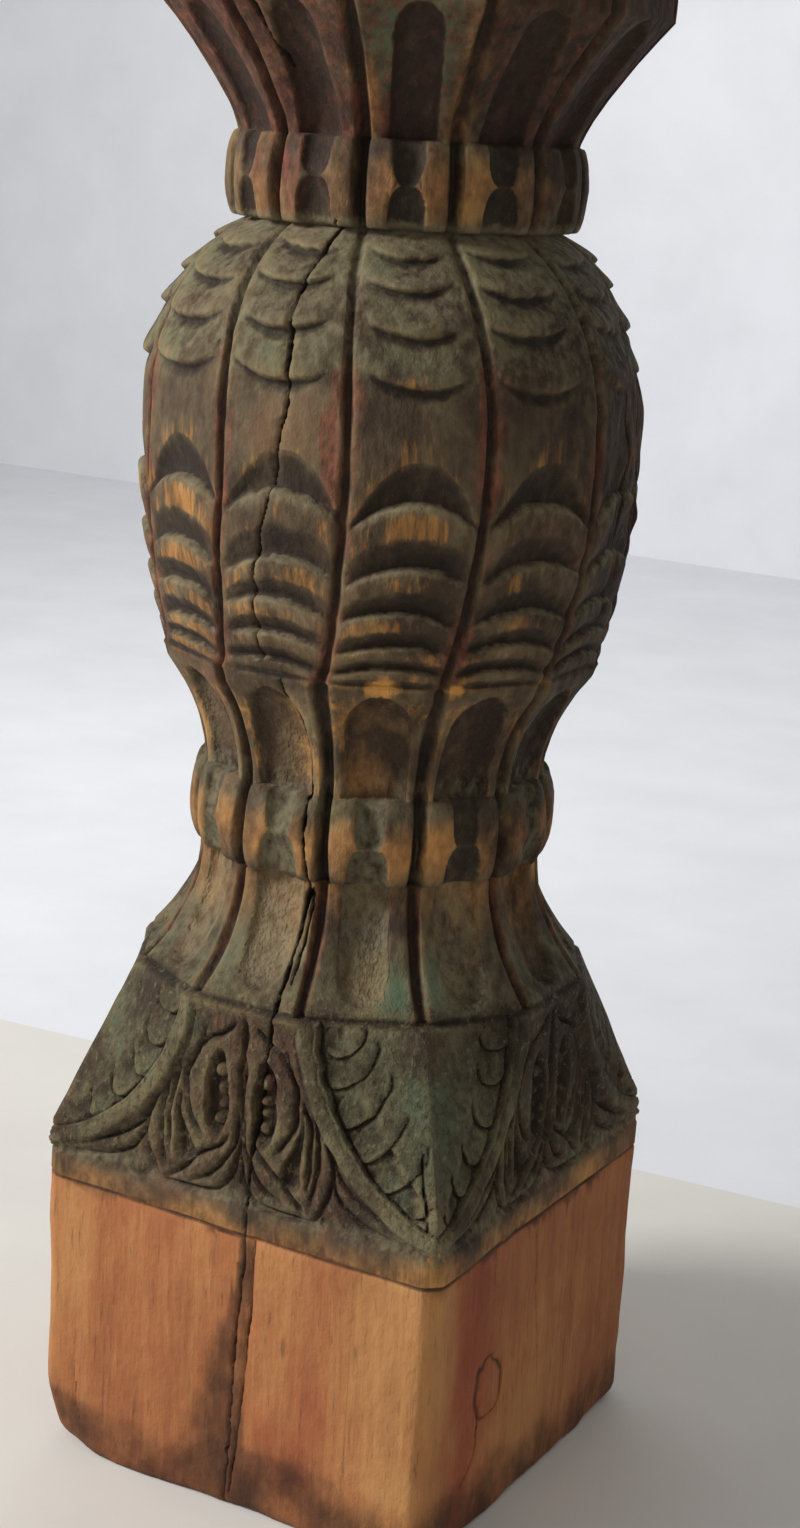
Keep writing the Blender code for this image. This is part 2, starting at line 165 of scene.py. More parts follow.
# %% Grid of directions and levels
COLUMNS = 1008
FINE_STEP = 0.00095
angles = np.arange(COLUMNS) * 2 * math.pi / COLUMNS + FIRST_GROOVE
block_levels = np.arange(0, BLOCK_HEIGHT - 0.006, 0.0016)
carved_levels = np.arange(BLOCK_HEIGHT - 0.006, LIP_FOOT + 0.004, FINE_STEP)
lip_levels = np.linspace(LIP_FOOT + 0.004 + FINE_STEP, TOP, 18)
levels = np.concatenate([block_levels, carved_levels, lip_levels])
ANGLE, LEVEL = np.meshgrid(angles, levels)
print("grid:", LEVEL.shape, "points:", LEVEL.size)

# %% [markdown]
# ## Helpers for shaping
#
# Hand carving shows a few kinds of change: a slope from one level to another, a rounded hump, a patch a
# little higher than its neighbours, and a line that wavers. Each kind gets one small function that works on
# the whole grid at once. Blender's own noise textures could give the patches as well, but a value worked
# out here can be measured, and a mask can use it too.

# %% Small helpers for shaping


def share(value, start, end):
    """Where value lies between start and end, from 0 to 1."""
    return np.clip((value - start) / (end - start), 0, 1)


def ease(value):
    """The same from 0 to 1, but starting and stopping gently."""
    return value * value * (3 - 2 * value)


def level_fade(start, end):
    """0 at the level start and 1 at the level end, with soft ends; start may be the higher one."""
    return ease(share(LEVEL, start, end))


def half_turn(turn):
    """An angle brought between minus and plus half a turn."""
    return (turn + math.pi) % (2 * math.pi) - math.pi


def dome(value):
    """A half-round hump: 1 in the middle, 0 at -1 and 1."""
    return np.sqrt(np.clip(1 - value * value, 0, 1))


def patches(across, along, seed):
    """Smooth random values from -1 to 1 over the grid: so many cells round the axis and up the timber."""
    values = np.random.default_rng(seed).uniform(-1, 1, (along + 1, across))
    values = np.concatenate([values, values[:, :1]], axis=1)
    column = (angles - FIRST_GROOVE) / (2 * math.pi) * across
    row = levels / TOP * along
    left = np.floor(column).astype(int) % across
    low = np.minimum(np.floor(row).astype(int), along - 1)
    side, rise = ease(column - np.floor(column)), ease(row - low)
    lower = values[low][:, left] * (1 - side) + values[low][:, left + 1] * side
    upper = values[low + 1][:, left] * (1 - side) + values[low + 1][:, left + 1] * side
    return lower * (1 - rise[:, None]) + upper * rise[:, None]


def wander(level, seed, reach):
    """A slow wobble along the timber, as a hand-cut line has."""
    rng = np.random.default_rng(seed)
    total = np.zeros_like(level)
    for waves in (2.3, 5.1, 9.7):
        total = total + np.sin(level / TOP * waves * 2 * math.pi + rng.uniform(0, 6.28)) / waves ** 0.6
    return total * reach / 1.3


print("one patch field:", patches(12, 30, 1).shape)

# %% [markdown]
# ## Twelve panels
#
# The carver divided the shaft by twelve grooves. They line up with the block's corners, but on the pot they
# wander round by a few degrees, and every groove wobbles a little. So each point is given a place on its
# panel, from -1 at one groove to 1 at the next, measured between the wobbling lines.

# %% Places on the panels
POT_DRIFT = math.radians(5.5)
GROOVE_WOBBLE = math.radians(0.55)


def pot_drift(level):
    """How far the grooves have wandered round at a level of the pot."""
    return POT_DRIFT * np.sin(math.pi * share(level, POT_FOOT, UPPER_RING_FOOT)) ** 0.75


def panel_places():
    """The panel each point is on, and its place across that panel from -1 to 1."""
    settled = ease(share(levels, BELL_FOOT, BELL_FOOT + 0.02))
    lines = []
    for number in range(PANELS + 1):
        wobble = wander(levels, 100 + number % PANELS, GROOVE_WOBBLE) * settled
        lines.append(FIRST_GROOVE + 2 * HALF_PANEL * number + pot_drift(levels) + wobble)
    lines = np.array(lines)
    panel = np.zeros(LEVEL.shape, int)
    place = np.zeros(LEVEL.shape)
    for number in range(-1, PANELS):
        low = lines[number % PANELS][:, None] - (2 * math.pi if number < 0 else 0)
        high = lines[(number % PANELS) + 1][:, None] - (2 * math.pi if number < 0 else 0)
        inside = (ANGLE >= low) & (ANGLE < high)
        here = 2 * (ANGLE - low) / (high - low) - 1
        place = np.where(inside, here, place)
        panel = np.where(inside, number % PANELS, panel)
    return panel, place


PANEL, PLACE = panel_places()
print("panels found:", len(np.unique(PANEL)))


def by_panel(seed, reach):
    """One random value for each panel, spread over the grid."""
    return np.random.default_rng(seed).uniform(-reach, reach, PANELS)[PANEL]


# %% [markdown]
# ## The turned form
#
# Under the carving lies a simple shape: hollow curves at the bell, the neck and the flare, a full curve at
# the pot and two rolls for the rings. It is the same as the solid's, so the skin lies on it.

# %% Turned form
POT_BELLY = 0.51
POT_TOP_POWER = 2.5
POT_TOP_REACH = 1.14
POT_FOOT_REACH = 1.98
ARRIS_ROUND = 0.0036


def roll(level, foot, height, seat_low, seat_high, diameter):
    """A ring's rounded side, from its lower seat to its upper one."""
    up = share(level, foot, foot + height)
    seat = seat_low + (seat_high - seat_low) * up
    return seat + (diameter / 2 - seat) * dome(2 * up - 1)


def turned_radius(level):
    """Distance of the grooves' shoulders from the axis, from the bell up to the lip."""
    up_bell = share(level, BELL_FOOT, LOWER_RING_FOOT)
    up_neck = share(level, NECK_FOOT, POT_FOOT)
    up_flare = share(level, FLARE_FOOT, LIP_FOOT)
    from_belly = (level - POT_FOOT) / POT_HEIGHT - POT_BELLY
    above = np.clip(from_belly / ((1 - POT_BELLY) * POT_TOP_REACH), 0, 1) ** POT_TOP_POWER
    below = np.clip(-from_belly / (POT_BELLY * POT_FOOT_REACH), 0, 1) ** 2
    bell = LOWER_SEAT + (BASE_RADIUS - LOWER_SEAT) * (1 - up_bell) ** 2
    neck = LOWER_SEAT + (ARRIS_DIAMETER / 2 - LOWER_SEAT) * up_neck ** 2
    neck = neck - ARRIS_ROUND * ease(share(level, POT_FOOT - 0.010, POT_FOOT))
    pot = POT_DIAMETER / 2 * (1 - above) ** (1 / POT_TOP_POWER) * np.sqrt(1 - below)
    pot = pot + ARRIS_ROUND * share(level, POT_FOOT + 0.009, POT_FOOT) ** 2
    flare = UPPER_SEAT + (LIP_DIAMETER / 2 - UPPER_SEAT) * up_flare ** 1.3
    lower_ring = roll(level, LOWER_RING_FOOT, LOWER_RING_HEIGHT, LOWER_SEAT, LOWER_SEAT, LOWER_RING_DIAMETER)
    upper_ring = roll(level, UPPER_RING_FOOT, UPPER_RING_HEIGHT, UPPER_SEAT, UPPER_SEAT, UPPER_RING_DIAMETER)
    stages = [level < LOWER_RING_FOOT, level < NECK_FOOT, level < POT_FOOT, level < UPPER_RING_FOOT,
              level < FLARE_FOOT]
    return np.select(stages, [bell, lower_ring, neck, pot, upper_ring], flare)


TURNED = turned_radius(LEVEL)
print("turned radius from", round(float(TURNED.min()), 4), "to", round(float(TURNED.max()), 4))

# %% [markdown]
# ## Panels of the shaft
#
# The panels are flat facets on the bell, the neck and the flare, but gently round on the pot and the rings.
# On the rings each panel also falls off beside its grooves, which makes a lobe of it. A turned shape could
# be cut with planes to get facets; here a facet is the turned circle drawn in towards its chord.

# %% Panels of the shaft
POT_FLATNESS = 0.35
RING_FLATNESS = 0.4
LOBE_DROP = 0.0040
LOBE_POWER = 3.5

SHAFT = LEVEL > BELL_FOOT - 0.001
ON_BELL = (LEVEL > BELL_FOOT) & (LEVEL <= LOWER_RING_FOOT)
ON_LOWER_RING = (LEVEL > LOWER_RING_FOOT) & (LEVEL < NECK_FOOT)
ON_NECK = (LEVEL >= NECK_FOOT) & (LEVEL <= POT_FOOT)
ON_POT = (LEVEL > POT_FOOT) & (LEVEL < UPPER_RING_FOOT)
ON_UPPER_RING = (LEVEL > UPPER_RING_FOOT) & (LEVEL < FLARE_FOOT)
ON_RINGS = ON_LOWER_RING | ON_UPPER_RING
ON_FLARE = LEVEL >= FLARE_FOOT

flatness = np.select([ON_POT, ON_RINGS], [POT_FLATNESS, RING_FLATNESS], 1.0)
CHORD = math.cos(HALF_PANEL) / np.cos(PLACE * HALF_PANEL)
RADIUS = TURNED * (1 + flatness * (CHORD - 1))
RADIUS = RADIUS - np.where(ON_RINGS, LOBE_DROP * np.abs(PLACE) ** LOBE_POWER, 0)
TO_GROOVE = (1 - np.abs(PLACE)) * HALF_PANEL * TURNED
ACROSS = PLACE * HALF_PANEL * TURNED
print("radius of the panels from", round(float(RADIUS.min()), 4), "to", round(float(RADIUS.max()), 4))

# %% [markdown]
# ## Grooves
#
# The grooves between the panels are cut with a V-shaped gouge: broad and deep on the bell, the neck and the
# flare, narrow on the pot. Their depth breathes a little along the way.

# %% Grooves
GROOVE_HALF = {"pot": 0.0036, "bell": 0.0042, "others": 0.0052}
GROOVE_DEPTH = {"pot": 0.0050, "bell": 0.0072, "others": 0.0086}


def by_stage(sizes):
    """One value on the pot, one on the bell, and one on the neck, the rings and the flare."""
    return np.select([ON_POT, ON_BELL], [sizes["pot"], sizes["bell"]], sizes["others"])


def groove_cut():
    """Depth of the grooves between panels, and a mask that is 1 in them."""
    half_width = by_stage(GROOVE_HALF) * (1 + 0.18 * patches(24, 40, 11))
    depth = by_stage(GROOVE_DEPTH) * (1 + 0.15 * patches(24, 30, 12))
    beside = TO_GROOVE / half_width
    cut = depth * np.clip(1 - beside ** 1.7, 0, 1)
    return np.where(SHAFT, cut, 0), np.where(SHAFT, np.clip(1.15 - beside, 0, 1), 0)


GROOVE_CUT, IN_GROOVE = groove_cut()
print("deepest groove", round(float(GROOVE_CUT.max()) * 1000, 1), "mm")

# %% [markdown]
# ## Channels
#
# Every panel of the bell, the neck and the flare has a channel: a flat hollow with steep sides that ends
# round. A channel is cut across the panel's middle, and its half width shrinks like a circle's as it nears
# its end.

# %% Channels
CHANNEL_WIDTH = {"bell": 0.032, "neck": 0.039, "flare": 0.030}
CHANNEL_DEPTH = {"bell": 0.0062, "neck": 0.0068, "flare": 0.0068}


def channel(stage, on_stage, from_end, seed):
    """Depth of one stage's channels, and a mask that is 1 in them."""
    radius = CHANNEL_WIDTH[stage] / 2 * (1 + by_panel(seed, 0.06))
    along = np.clip(from_end + by_panel(seed + 1, 0.002), 0, None) / radius
    half = radius * np.sqrt(np.clip(along * (2 - along), 0, 1) * (along < 1) + (along >= 1))
    middle = by_panel(seed + 2, 0.0012) + 0.0006 * patches(24, 60, seed + 3)
    beside = np.abs(ACROSS - middle) / np.maximum(half, 1e-5)
    hollow = np.clip(1 - beside ** 6, 0, 1) ** 0.5 * (0.72 + 0.28 * dome(np.clip(beside, 0, 1)))
    inside = on_stage & (beside < 1) & (half > 0.0008)
    return np.where(inside, CHANNEL_DEPTH[stage] * hollow, 0), np.where(inside, 1.0, 0.0)


bell_cut, in_bell = channel("bell", ON_BELL, LEVEL - BELL_FOOT - 0.007, 20)
neck_cut, in_neck = channel("neck", ON_NECK, POT_FOOT - 0.008 - LEVEL, 30)
flare_cut, in_flare = channel("flare", ON_FLARE, LIP_FOOT - 0.002 - LEVEL, 40)
CHANNEL_CUT = bell_cut + neck_cut + flare_cut
IN_CHANNEL = in_bell + in_neck + in_flare
print("share of the grid in channels:", round(float(IN_CHANNEL.mean()), 3))

# %% [markdown]
# ## Rings
#
# Each lobe of a ring carries two scoops, one from its top edge and one from its bottom edge. They narrow
# towards each other and meet at a little ridge at mid height, so together they look like an hourglass.

# %% Scoops of the rings
SCOOP_DEPTH = 0.0064
UPPER_SCOOP_HALVES = (0.0090, 0.0026, 0.0104)
LOWER_SCOOP_HALVES = (0.0094, 0.0058, 0.0126)


def scoops(on_ring, foot, height, halves, seed):
    """Depth of one ring's scoops, and a mask of them; halves are their half widths at top, waist and foot."""
    top_half, waist_half, foot_half = halves
    middle = 0.5 + by_panel(seed, 0.05)
    up = share(LEVEL, foot, foot + height)
    from_waist = np.where(up > middle, (up - middle) / (1 - middle), (middle - up) / middle)
    end_half = np.where(up > middle, top_half, foot_half)
    rounding = np.clip(from_waist / 0.62, 0, 1)
    half = waist_half + (end_half - waist_half) * np.sqrt(rounding * (2 - rounding))
    half = half * (1 + by_panel(seed + 1, 0.10))
    beside = np.abs(ACROSS - by_panel(seed + 2, 0.0012)) / half
    depth = SCOOP_DEPTH * (0.30 + 0.70 * np.clip(from_waist * 2.2, 0, 1) ** 0.7)
    inside = on_ring & (beside < 1)
    return np.where(inside, depth * dome(np.clip(beside, 0, 1)) ** 0.8, 0), np.where(inside, 1.0, 0.0)


upper_cut, in_upper = scoops(ON_UPPER_RING, UPPER_RING_FOOT, UPPER_RING_HEIGHT, UPPER_SCOOP_HALVES, 50)
lower_cut, in_lower = scoops(ON_LOWER_RING, LOWER_RING_FOOT, LOWER_RING_HEIGHT, LOWER_SCOOP_HALVES, 60)
SCOOP_CUT = upper_cut + lower_cut
IN_SCOOP = in_upper + in_lower
print("deepest scoop", round(float(SCOOP_CUT.max()) * 1000, 1), "mm")

# %% [markdown]
# ## Hanging scales
#
# Above its plain band the pot has rows of scales that hang, each overlapping the one below. A scale ends in
# a round lip that stands out like a nose, and under the lip the wood is cut away in a crescent, where shade
# is painted dark as well. The rows are spaced a little wider towards the band, and no two panels are quite
# alike. Separate scales could be modelled and copied, but here they are all of one timber, so they are steps
# in the same surface.

# %% Hanging scales
SCALE_ROWS = 4
SCALE_SPAN = 0.325
SCALE_GROWTH = 1.25
SCALE_REACH = 0.84
SCALE_MIDDLE = -0.04
SCALE_SAG = 0.27
SCALE_SWELL = 0.0046
SCALE_EDGE_SHARE = 0.36
NOSE = 0.34
UNDERCUT_DEPTH = 0.0026
UNDERCUT_HEIGHT = 0.0090


def spaced_rows(span, growth, count):
    """Distances of the rows from their end of the pot, and the spacing before each."""
    steps = growth ** np.arange(count)
    steps = steps * span / steps.sum()
    return np.cumsum(steps), steps


def hanging_scales():
    """How far the hanging scales stand out, a mask of their lips, and a mask of painted shade in the
    undercuts.
    """
    across = (PLACE - SCALE_MIDDLE + by_panel(66, 0.05)) / (SCALE_REACH * (1 + by_panel(67, 0.07)))
    bow = np.clip(1 - across ** 2, 0, 1)
    drops, steps = spaced_rows(SCALE_SPAN * POT_HEIGHT, SCALE_GROWTH, SCALE_ROWS)
    proud = np.zeros(LEVEL.shape)
    lip = np.zeros(LEVEL.shape)
    shade = np.zeros(LEVEL.shape)
    above = np.full(LEVEL.shape, UPPER_RING_FOOT)
    for number, (drop, step) in enumerate(zip(drops, steps)):
        tilt = PLACE * by_panel(70 + number, 0.0022)
        edge = UPPER_RING_FOOT - drop + SCALE_SAG * step * (1 - bow) + by_panel(80 + number, 0.0020) + tilt
        edge = edge + 0.0006 * patches(120, 8, 75 + number)[:1]
        swell = SCALE_SWELL * bow ** 0.6
        up = (LEVEL - edge) / np.maximum(above - edge, 0.004)
        lifted = (up >= 0) & (up < 1) & ON_POT
        rounded = SCALE_EDGE_SHARE + (1 - SCALE_EDGE_SHARE) * dome(1 - np.clip(up / NOSE, 0, 1))
        proud = np.where(lifted, swell * rounded * (1 - ease(np.clip(up, 0, 1))), proud)
        lip = np.where(lifted, np.clip(1 - up / 0.60, 0, 1) * bow, lip)
        tall = np.maximum(UNDERCUT_HEIGHT * bow * (0.75 + 0.25 * number / SCALE_ROWS), 0.0004)
        down = (edge - LEVEL) / tall
        under = (down >= 0) & (down < 1) & ON_POT & (bow > 0)
        sunk = SCALE_EDGE_SHARE * swell * (1 - np.clip(down / 0.45, 0, 1))
        sunk = sunk - UNDERCUT_DEPTH * bow ** 0.5 * np.sin(math.pi * np.clip(down, 0, 1) ** 0.7)
        proud = np.where(under, sunk, proud)
        # painted shade: this mask darkens the crescent under each lip
        shade = np.where(under, np.clip(1.9 - 1.7 * down, 0, 1) * bow ** 0.3, shade)
        above = edge - tall
    return proud, lip, shade


hanging, hanging_lip, hanging_shade = hanging_scales()
print("hanging scales stand out", round(float(hanging.max()) * 1000, 1), "mm at most")

# %% [markdown]
# ## Arched scales
#
# Below the band the scales are upside down, as arches. Each has its free edge on top, as a narrow ledge
# that catches dust; a round body, where paint is rubbed off; and a hollow at its foot, whose shade is painted
# dark. Over the last arch a deep hollow is cut into the band, with a brow that is left proud above it.

# %% Arched scales
ARCH_ROWS = 5
ARCH_SPAN = 0.433
ARCH_GROWTH = 1.33
ARCH_REACH = 0.90
ARCH_MIDDLE = 0.03
ARCH_SAG = 0.43
ARCH_LIP = 0.0026
ARCH_HOLLOW = 0.0052
LEDGE = 0.17
BROW_HEIGHT = 0.017


def arched_scales():
    """How far the arches stand out, and masks of their bodies, the painted shade in their hollows, their
    ledges and brow.
    """
    across = (PLACE - ARCH_MIDDLE + by_panel(68, 0.03)) / ARCH_REACH
    bow = np.clip(1 - np.abs(across) ** 2.2, 0, 1)
    tops, steps = spaced_rows(ARCH_SPAN * POT_HEIGHT, ARCH_GROWTH, ARCH_ROWS)
    proud = np.zeros(LEVEL.shape)
    worn = np.zeros(LEVEL.shape)
    shade = np.zeros(LEVEL.shape)
    ledge = np.zeros(LEVEL.shape)
    below = np.full(LEVEL.shape, POT_FOOT)
    for number, (top, step) in enumerate(zip(tops, steps)):
        tilt = PLACE * by_panel(90 + number, 0.0020)
        edge = POT_FOOT + top - ARCH_SAG * step * (1 - bow) + by_panel(95 + number, 0.0016) + tilt
        edge = edge + 0.0005 * patches(120, 8, 88 + number)[:1]
        down = (edge - LEVEL) / np.maximum(edge - below, 0.002)
        inside = (down >= 0) & (down < 1) & ON_POT
        step_out = dome(1 - np.clip(down / LEDGE, 0, 1))
        fall = ease(share(down, 0.50, 1.0))
        body = step_out * (ARCH_LIP * (1 - 0.6 * down) - ARCH_HOLLOW * fall) - ARCH_HOLLOW * (1 - step_out)
        proud = np.where(inside, body * bow ** 0.4, proud)
        worn = np.where(inside, share(down, 0.10, 0.24) * share(down, 0.62, 0.50) * bow ** 0.5, worn)
        # painted shade in the hollow at each arch's foot
        shade = np.where(inside, ease(share(down, 0.50, 0.64)) * bow ** 0.4, shade)
        ledge = np.where(inside, np.clip(1.3 - down / LEDGE, 0, 1) * bow ** 0.4, ledge)
        below = edge
    hollow_top = below + steps[-1] * (0.02 + 0.60 * bow)
    rise = (LEVEL - below) / np.maximum(hollow_top - below, 0.002)
    scooped = (rise >= 0) & (rise < 1) & ON_POT
    proud = np.where(scooped, -ARCH_HOLLOW * (1 - rise ** 2) * bow ** 0.3, proud)
    # painted shade in the deep hollow over the last arch
    shade = np.where(scooped, 1 - 0.55 * share(rise, 0.75, 1.0), shade)
    brow = np.where((LEVEL >= hollow_top) & ON_POT, np.clip(1 - (LEVEL - hollow_top) / BROW_HEIGHT, 0, 1), 0)
    return proud, worn, shade, ledge, brow


arched, arch_body, arch_shade, arch_ledge, brow = arched_scales()
SCALE_PROUD = hanging + arched
print("scales stand out", round(float(SCALE_PROUD.max()) * 1000, 1), "mm at most")

# %% [markdown]
# ## The square foot
#
# Up to the groove over the leaves the section is square. On each face a point is given by its place across
# the face, from -1 at one corner to 1 at the other, and by how far down it lies from that groove. The rim
# of a corner leaf is a quarter of a rounded square on this sheet, and between the rim and the corner the
# wood is cut back to a sloping facet.

# %% Places on the faces
RIM_POWER = 1.8
RIM_REACH = 0.97
RIM_LIMIT = 0.97
FACET_END = 0.86
CORNER_ROUND = 0.009
SMOOTH_JOIN = 900
FACE_ANGLE = (ANGLE - FIRST_GROOVE) % QUARTER - QUARTER / 2
FACE = ((ANGLE - FIRST_GROOVE) // QUARTER).astype(int)
SIDE = np.sign(FACE_ANGLE)
FACE_PLACE = np.abs(np.tan(FACE_ANGLE))
DOWN = share(BELL_FOOT - LEVEL, 0, LEAF_HEIGHT)
TOP_SHARE = math.tan(HALF_PANEL)


def rim_share(down):
    """Where the leaf's rim crosses the face."""
    curve = (1 - np.clip(down / RIM_REACH, 0, 1) ** RIM_POWER) ** (1 / RIM_POWER)
    return 1 - (1 - TOP_SHARE) * curve


def foot_lines():
    """How far the faces lie from the axis, where the rim crosses them, and where the corners' ridges lie."""
    face = (BASE_WIDTH + (BLOCK_SIDE - BASE_WIDTH) * DOWN) / 2
    rim = np.minimum(rim_share(DOWN), RIM_LIMIT) * face
    corner = math.sqrt(0.5) * (BLOCK_SIDE - CORNER_ROUND)
    ridge = (BASE_RADIUS + (corner - BASE_RADIUS) * share(DOWN, 0, FACET_END)) * math.sqrt(0.5)
    return face, rim, ridge


def square_radius():
    """The uncut form of the foot: rounded block, flat faces, and facets from the rims to the ridges."""
    face, rim, ridge = foot_lines()
    angle = np.abs(FACE_ANGLE)
    facet = ((face - ridge) * rim + (ridge - rim) * face)
    facet = facet / ((face - ridge) * np.sin(angle) + (ridge - rim) * np.cos(angle))
    plain = face / np.cos(angle)
    rounded = (2 * face - CORNER_ROUND) / (np.sin(angle) + np.cos(angle))
    block = -np.log(np.exp(-plain * SMOOTH_JOIN) + np.exp(-rounded * SMOOTH_JOIN)) / SMOOTH_JOIN
    carved = np.where(FACE_PLACE <= rim / face, plain, facet)
    return np.where(DOWN < 1, np.minimum(carved, block + 0.002), block)


FOOT_RADIUS = square_radius()
measured = FOOT_RADIUS[LEVEL <= BELL_FOOT]
print("foot radius from", round(float(measured.min()), 4), "to", round(float(measured.max()), 4))

# %% [markdown]
# ## Corner leaves
#
# A leaf lies over each corner. It has a broad round rim, a smooth rib that narrows down the corner, and a
# row of petals between them. The petals overlap like scales: each is highest at its lower edge, where a
# stab cut parts it from the next one. On one half of a leaf they lean towards the rim, on the other they
# hang straight, as cut.

# %% Leaves
RIM_WIDTH = 0.0130
RIM_ROLL = 0.0030
RIM_LINE_DEPTH = 0.0026
RIM_LINE_HALF = 0.0016
FIELD_DEPTH = 0.0034
PETAL_CUT = 0.0030
PETAL_CUT_REACH = 0.16
PETAL_EDGE_CUT = 0.0022
PETAL_VEIN_CUT = 0.0011
PETAL_VEIN_PLACE = 0.66
# Each petal: distance from the corner's ridge, drop from the leaf's top, half width and half length.
PETALS = ((0.0500, 0.007, 0.0140, 0.012), (0.0480, 0.024, 0.0135, 0.017), (0.0440, 0.043, 0.0130, 0.020),
          (0.0350, 0.062, 0.0120, 0.020), (0.0240, 0.080, 0.0100, 0.018), (0.0110, 0.096, 0.0070, 0.014))
LEANING_HALVES = (7, 2, 4, 1)
LEANING = 0.85
HANGING = 0.06


def leaf_distances():
    """Distance of each point inside the leaf's rim line, and its distance from the corner's ridge."""
    face, rim, ridge = foot_lines()
    x = FOOT_RADIUS * np.cos(np.abs(FACE_ANGLE))
    y = FOOT_RADIUS * np.sin(np.abs(FACE_ANGLE))
    slope = np.gradient(rim[:, 0], levels)[:, None]
    beyond = np.where(FACE_PLACE * face > rim, 1, -1)
    inside = beyond * np.hypot(x - face, y - rim) / np.sqrt(1 + slope ** 2)
    return inside, np.hypot(x - ridge, y - ridge)


INSIDE_RIM, FROM_RIDGE = leaf_distances()
INSIDE_RIM = INSIDE_RIM + 0.0009 * patches(60, 110, 131)
print("leaves reach", round(float(INSIDE_RIM.max()) * 1000), "mm inside their rims at most")

# %% [markdown]
# ## Petals of the leaves
#
# Each petal is an oval with its own tilt, and is a little off its place, as hand work is. They are laid
# from the lowest up, so each covers the head of the one below, like tiles on a roof. A single petal could
# be modelled and copied along the leaf, but then all of them would be the same.

# %% Petals of the leaves


def petal_place(petal, move, leans, aside, drop):
    """How near each point is to a petal's outline, which is at 1, and how much it faces the free edge."""
    middle, height, wide, tall = petal
    tilt = np.where(leans, LEANING, HANGING) + 0.10 * move[..., 0]
    out = aside - middle - np.where(leans, -0.0030, 0.0030) - 0.0012 * move[..., 1]
    below = drop - height - 0.0014 * move[..., 2]
    long = tall * np.where(leans, 1.25, 1.0) * (1 + 0.08 * move[..., 3])
    along = (out * np.sin(tilt) + below * np.cos(tilt)) / long
    across = (out * np.cos(tilt) - below * np.sin(tilt)) / (wide * np.where(leans, 0.72, 1.0))
    across = across * (1 + np.where(leans, 0.15, 0.60) * np.clip(-along, 0, 1))
    facing = np.clip(0.5 + 0.5 * (below * np.cos(tilt) - out * np.sin(tilt)) / tall, 0, 1)
    return np.hypot(along, across), facing


def petal_body(reach, facing):
    """The height of a petal: highest at its free edge, with a fine vein and an edge that turns down."""
    body = -FIELD_DEPTH * 0.95 + (FIELD_DEPTH + 0.0008) * facing ** 1.3
    body = body - 0.0012 * np.clip(1 - reach, 0, 1)
    body = body - PETAL_EDGE_CUT * np.clip(1 - (1 - reach) / 0.10, 0, 1) ** 2
    return body - PETAL_VEIN_CUT * np.clip(1 - np.abs(reach - PETAL_VEIN_PLACE) / 0.07, 0, 1) * facing


def leaf_relief(inside):
    """How far the leaves stand out or are cut in."""
    half = FACE * 2 + (SIDE > 0)
    leans = np.isin(half, LEANING_HALVES)
    drop = BELL_FOOT - LEVEL + 0.0008 * patches(70, 120, 132)
    aside = FROM_RIDGE + 0.0010 * patches(60, 120, 133)
    band = np.clip(inside / RIM_WIDTH * 2 - 1, -1, 1)
    line = np.clip(1 - np.abs(inside - RIM_WIDTH) / RIM_LINE_HALF, 0, 1)
    second = np.clip(1 - np.abs(inside - RIM_WIDTH * 0.70) / 0.0010, 0, 1)
    relief = np.where(inside < RIM_WIDTH, RIM_ROLL * dome(band) ** 0.7 - 0.0006 - 0.0012 * second, 0.0008)
    rib_edges = [middle - 0.6 * wide for middle, height, wide, tall in PETALS]
    edge_of_field = np.interp(drop, [petal[1] for petal in PETALS], rib_edges)
    field = (inside >= RIM_WIDTH) & (aside > edge_of_field) & (drop < PETALS[-1][1] + 0.008)
    relief = np.where(field, -FIELD_DEPTH + 0.0006 * patches(120, 200, 134), relief)
    from_rib = ease(share(aside - edge_of_field, 0.0005, 0.0085))
    shift = np.random.default_rng(140).uniform(-1, 1, (8, len(PETALS), 4))
    for number in reversed(range(len(PETALS))):
        reach, facing = petal_place(PETALS[number], shift[half, number], leans, aside, drop)
        inner = (reach < 1) & (inside > RIM_WIDTH - 0.001)
        body = 0.0006 * (1 - from_rib) + petal_body(reach, facing) * from_rib
        relief = np.where(inner, body, relief)
        outer = 1 + PETAL_CUT_REACH
        outline = (reach >= 1) & (reach < outer) & (inside > RIM_WIDTH) & (facing > 0.45)
        cut = PETAL_CUT * (outer - reach) / PETAL_CUT_REACH * share(facing, 0.45, 0.70)
        relief = np.where(outline, relief - cut, relief)
    relief = relief - np.where(inside > RIM_WIDTH * 0.8, RIM_LINE_DEPTH * line, 0)
    relief = np.where(inside > 0, relief, 0)
    fade = ease(share(drop, 0.000, 0.004)) * ease(share(drop, LEAF_HEIGHT, LEAF_HEIGHT - 0.006))
    return relief * fade


LEAF_RELIEF = leaf_relief(INSIDE_RIM)
print("leaves cut in by", round(float(-LEAF_RELIEF.min()) * 1000, 1), "mm at most")

# %% [markdown]
# ## Palmettes
#
# Between two leaves hangs a pair of palmettes, mirrored about the middle of the face. Each is one rounded
# mass with a deep oval socket that holds beads, a teardrop hollow beside it, and long folds that sweep down
# to a hanging end. The folds are drawn by knife cuts, so they are given here as the lines that the knife
# followed, in metres on the face.

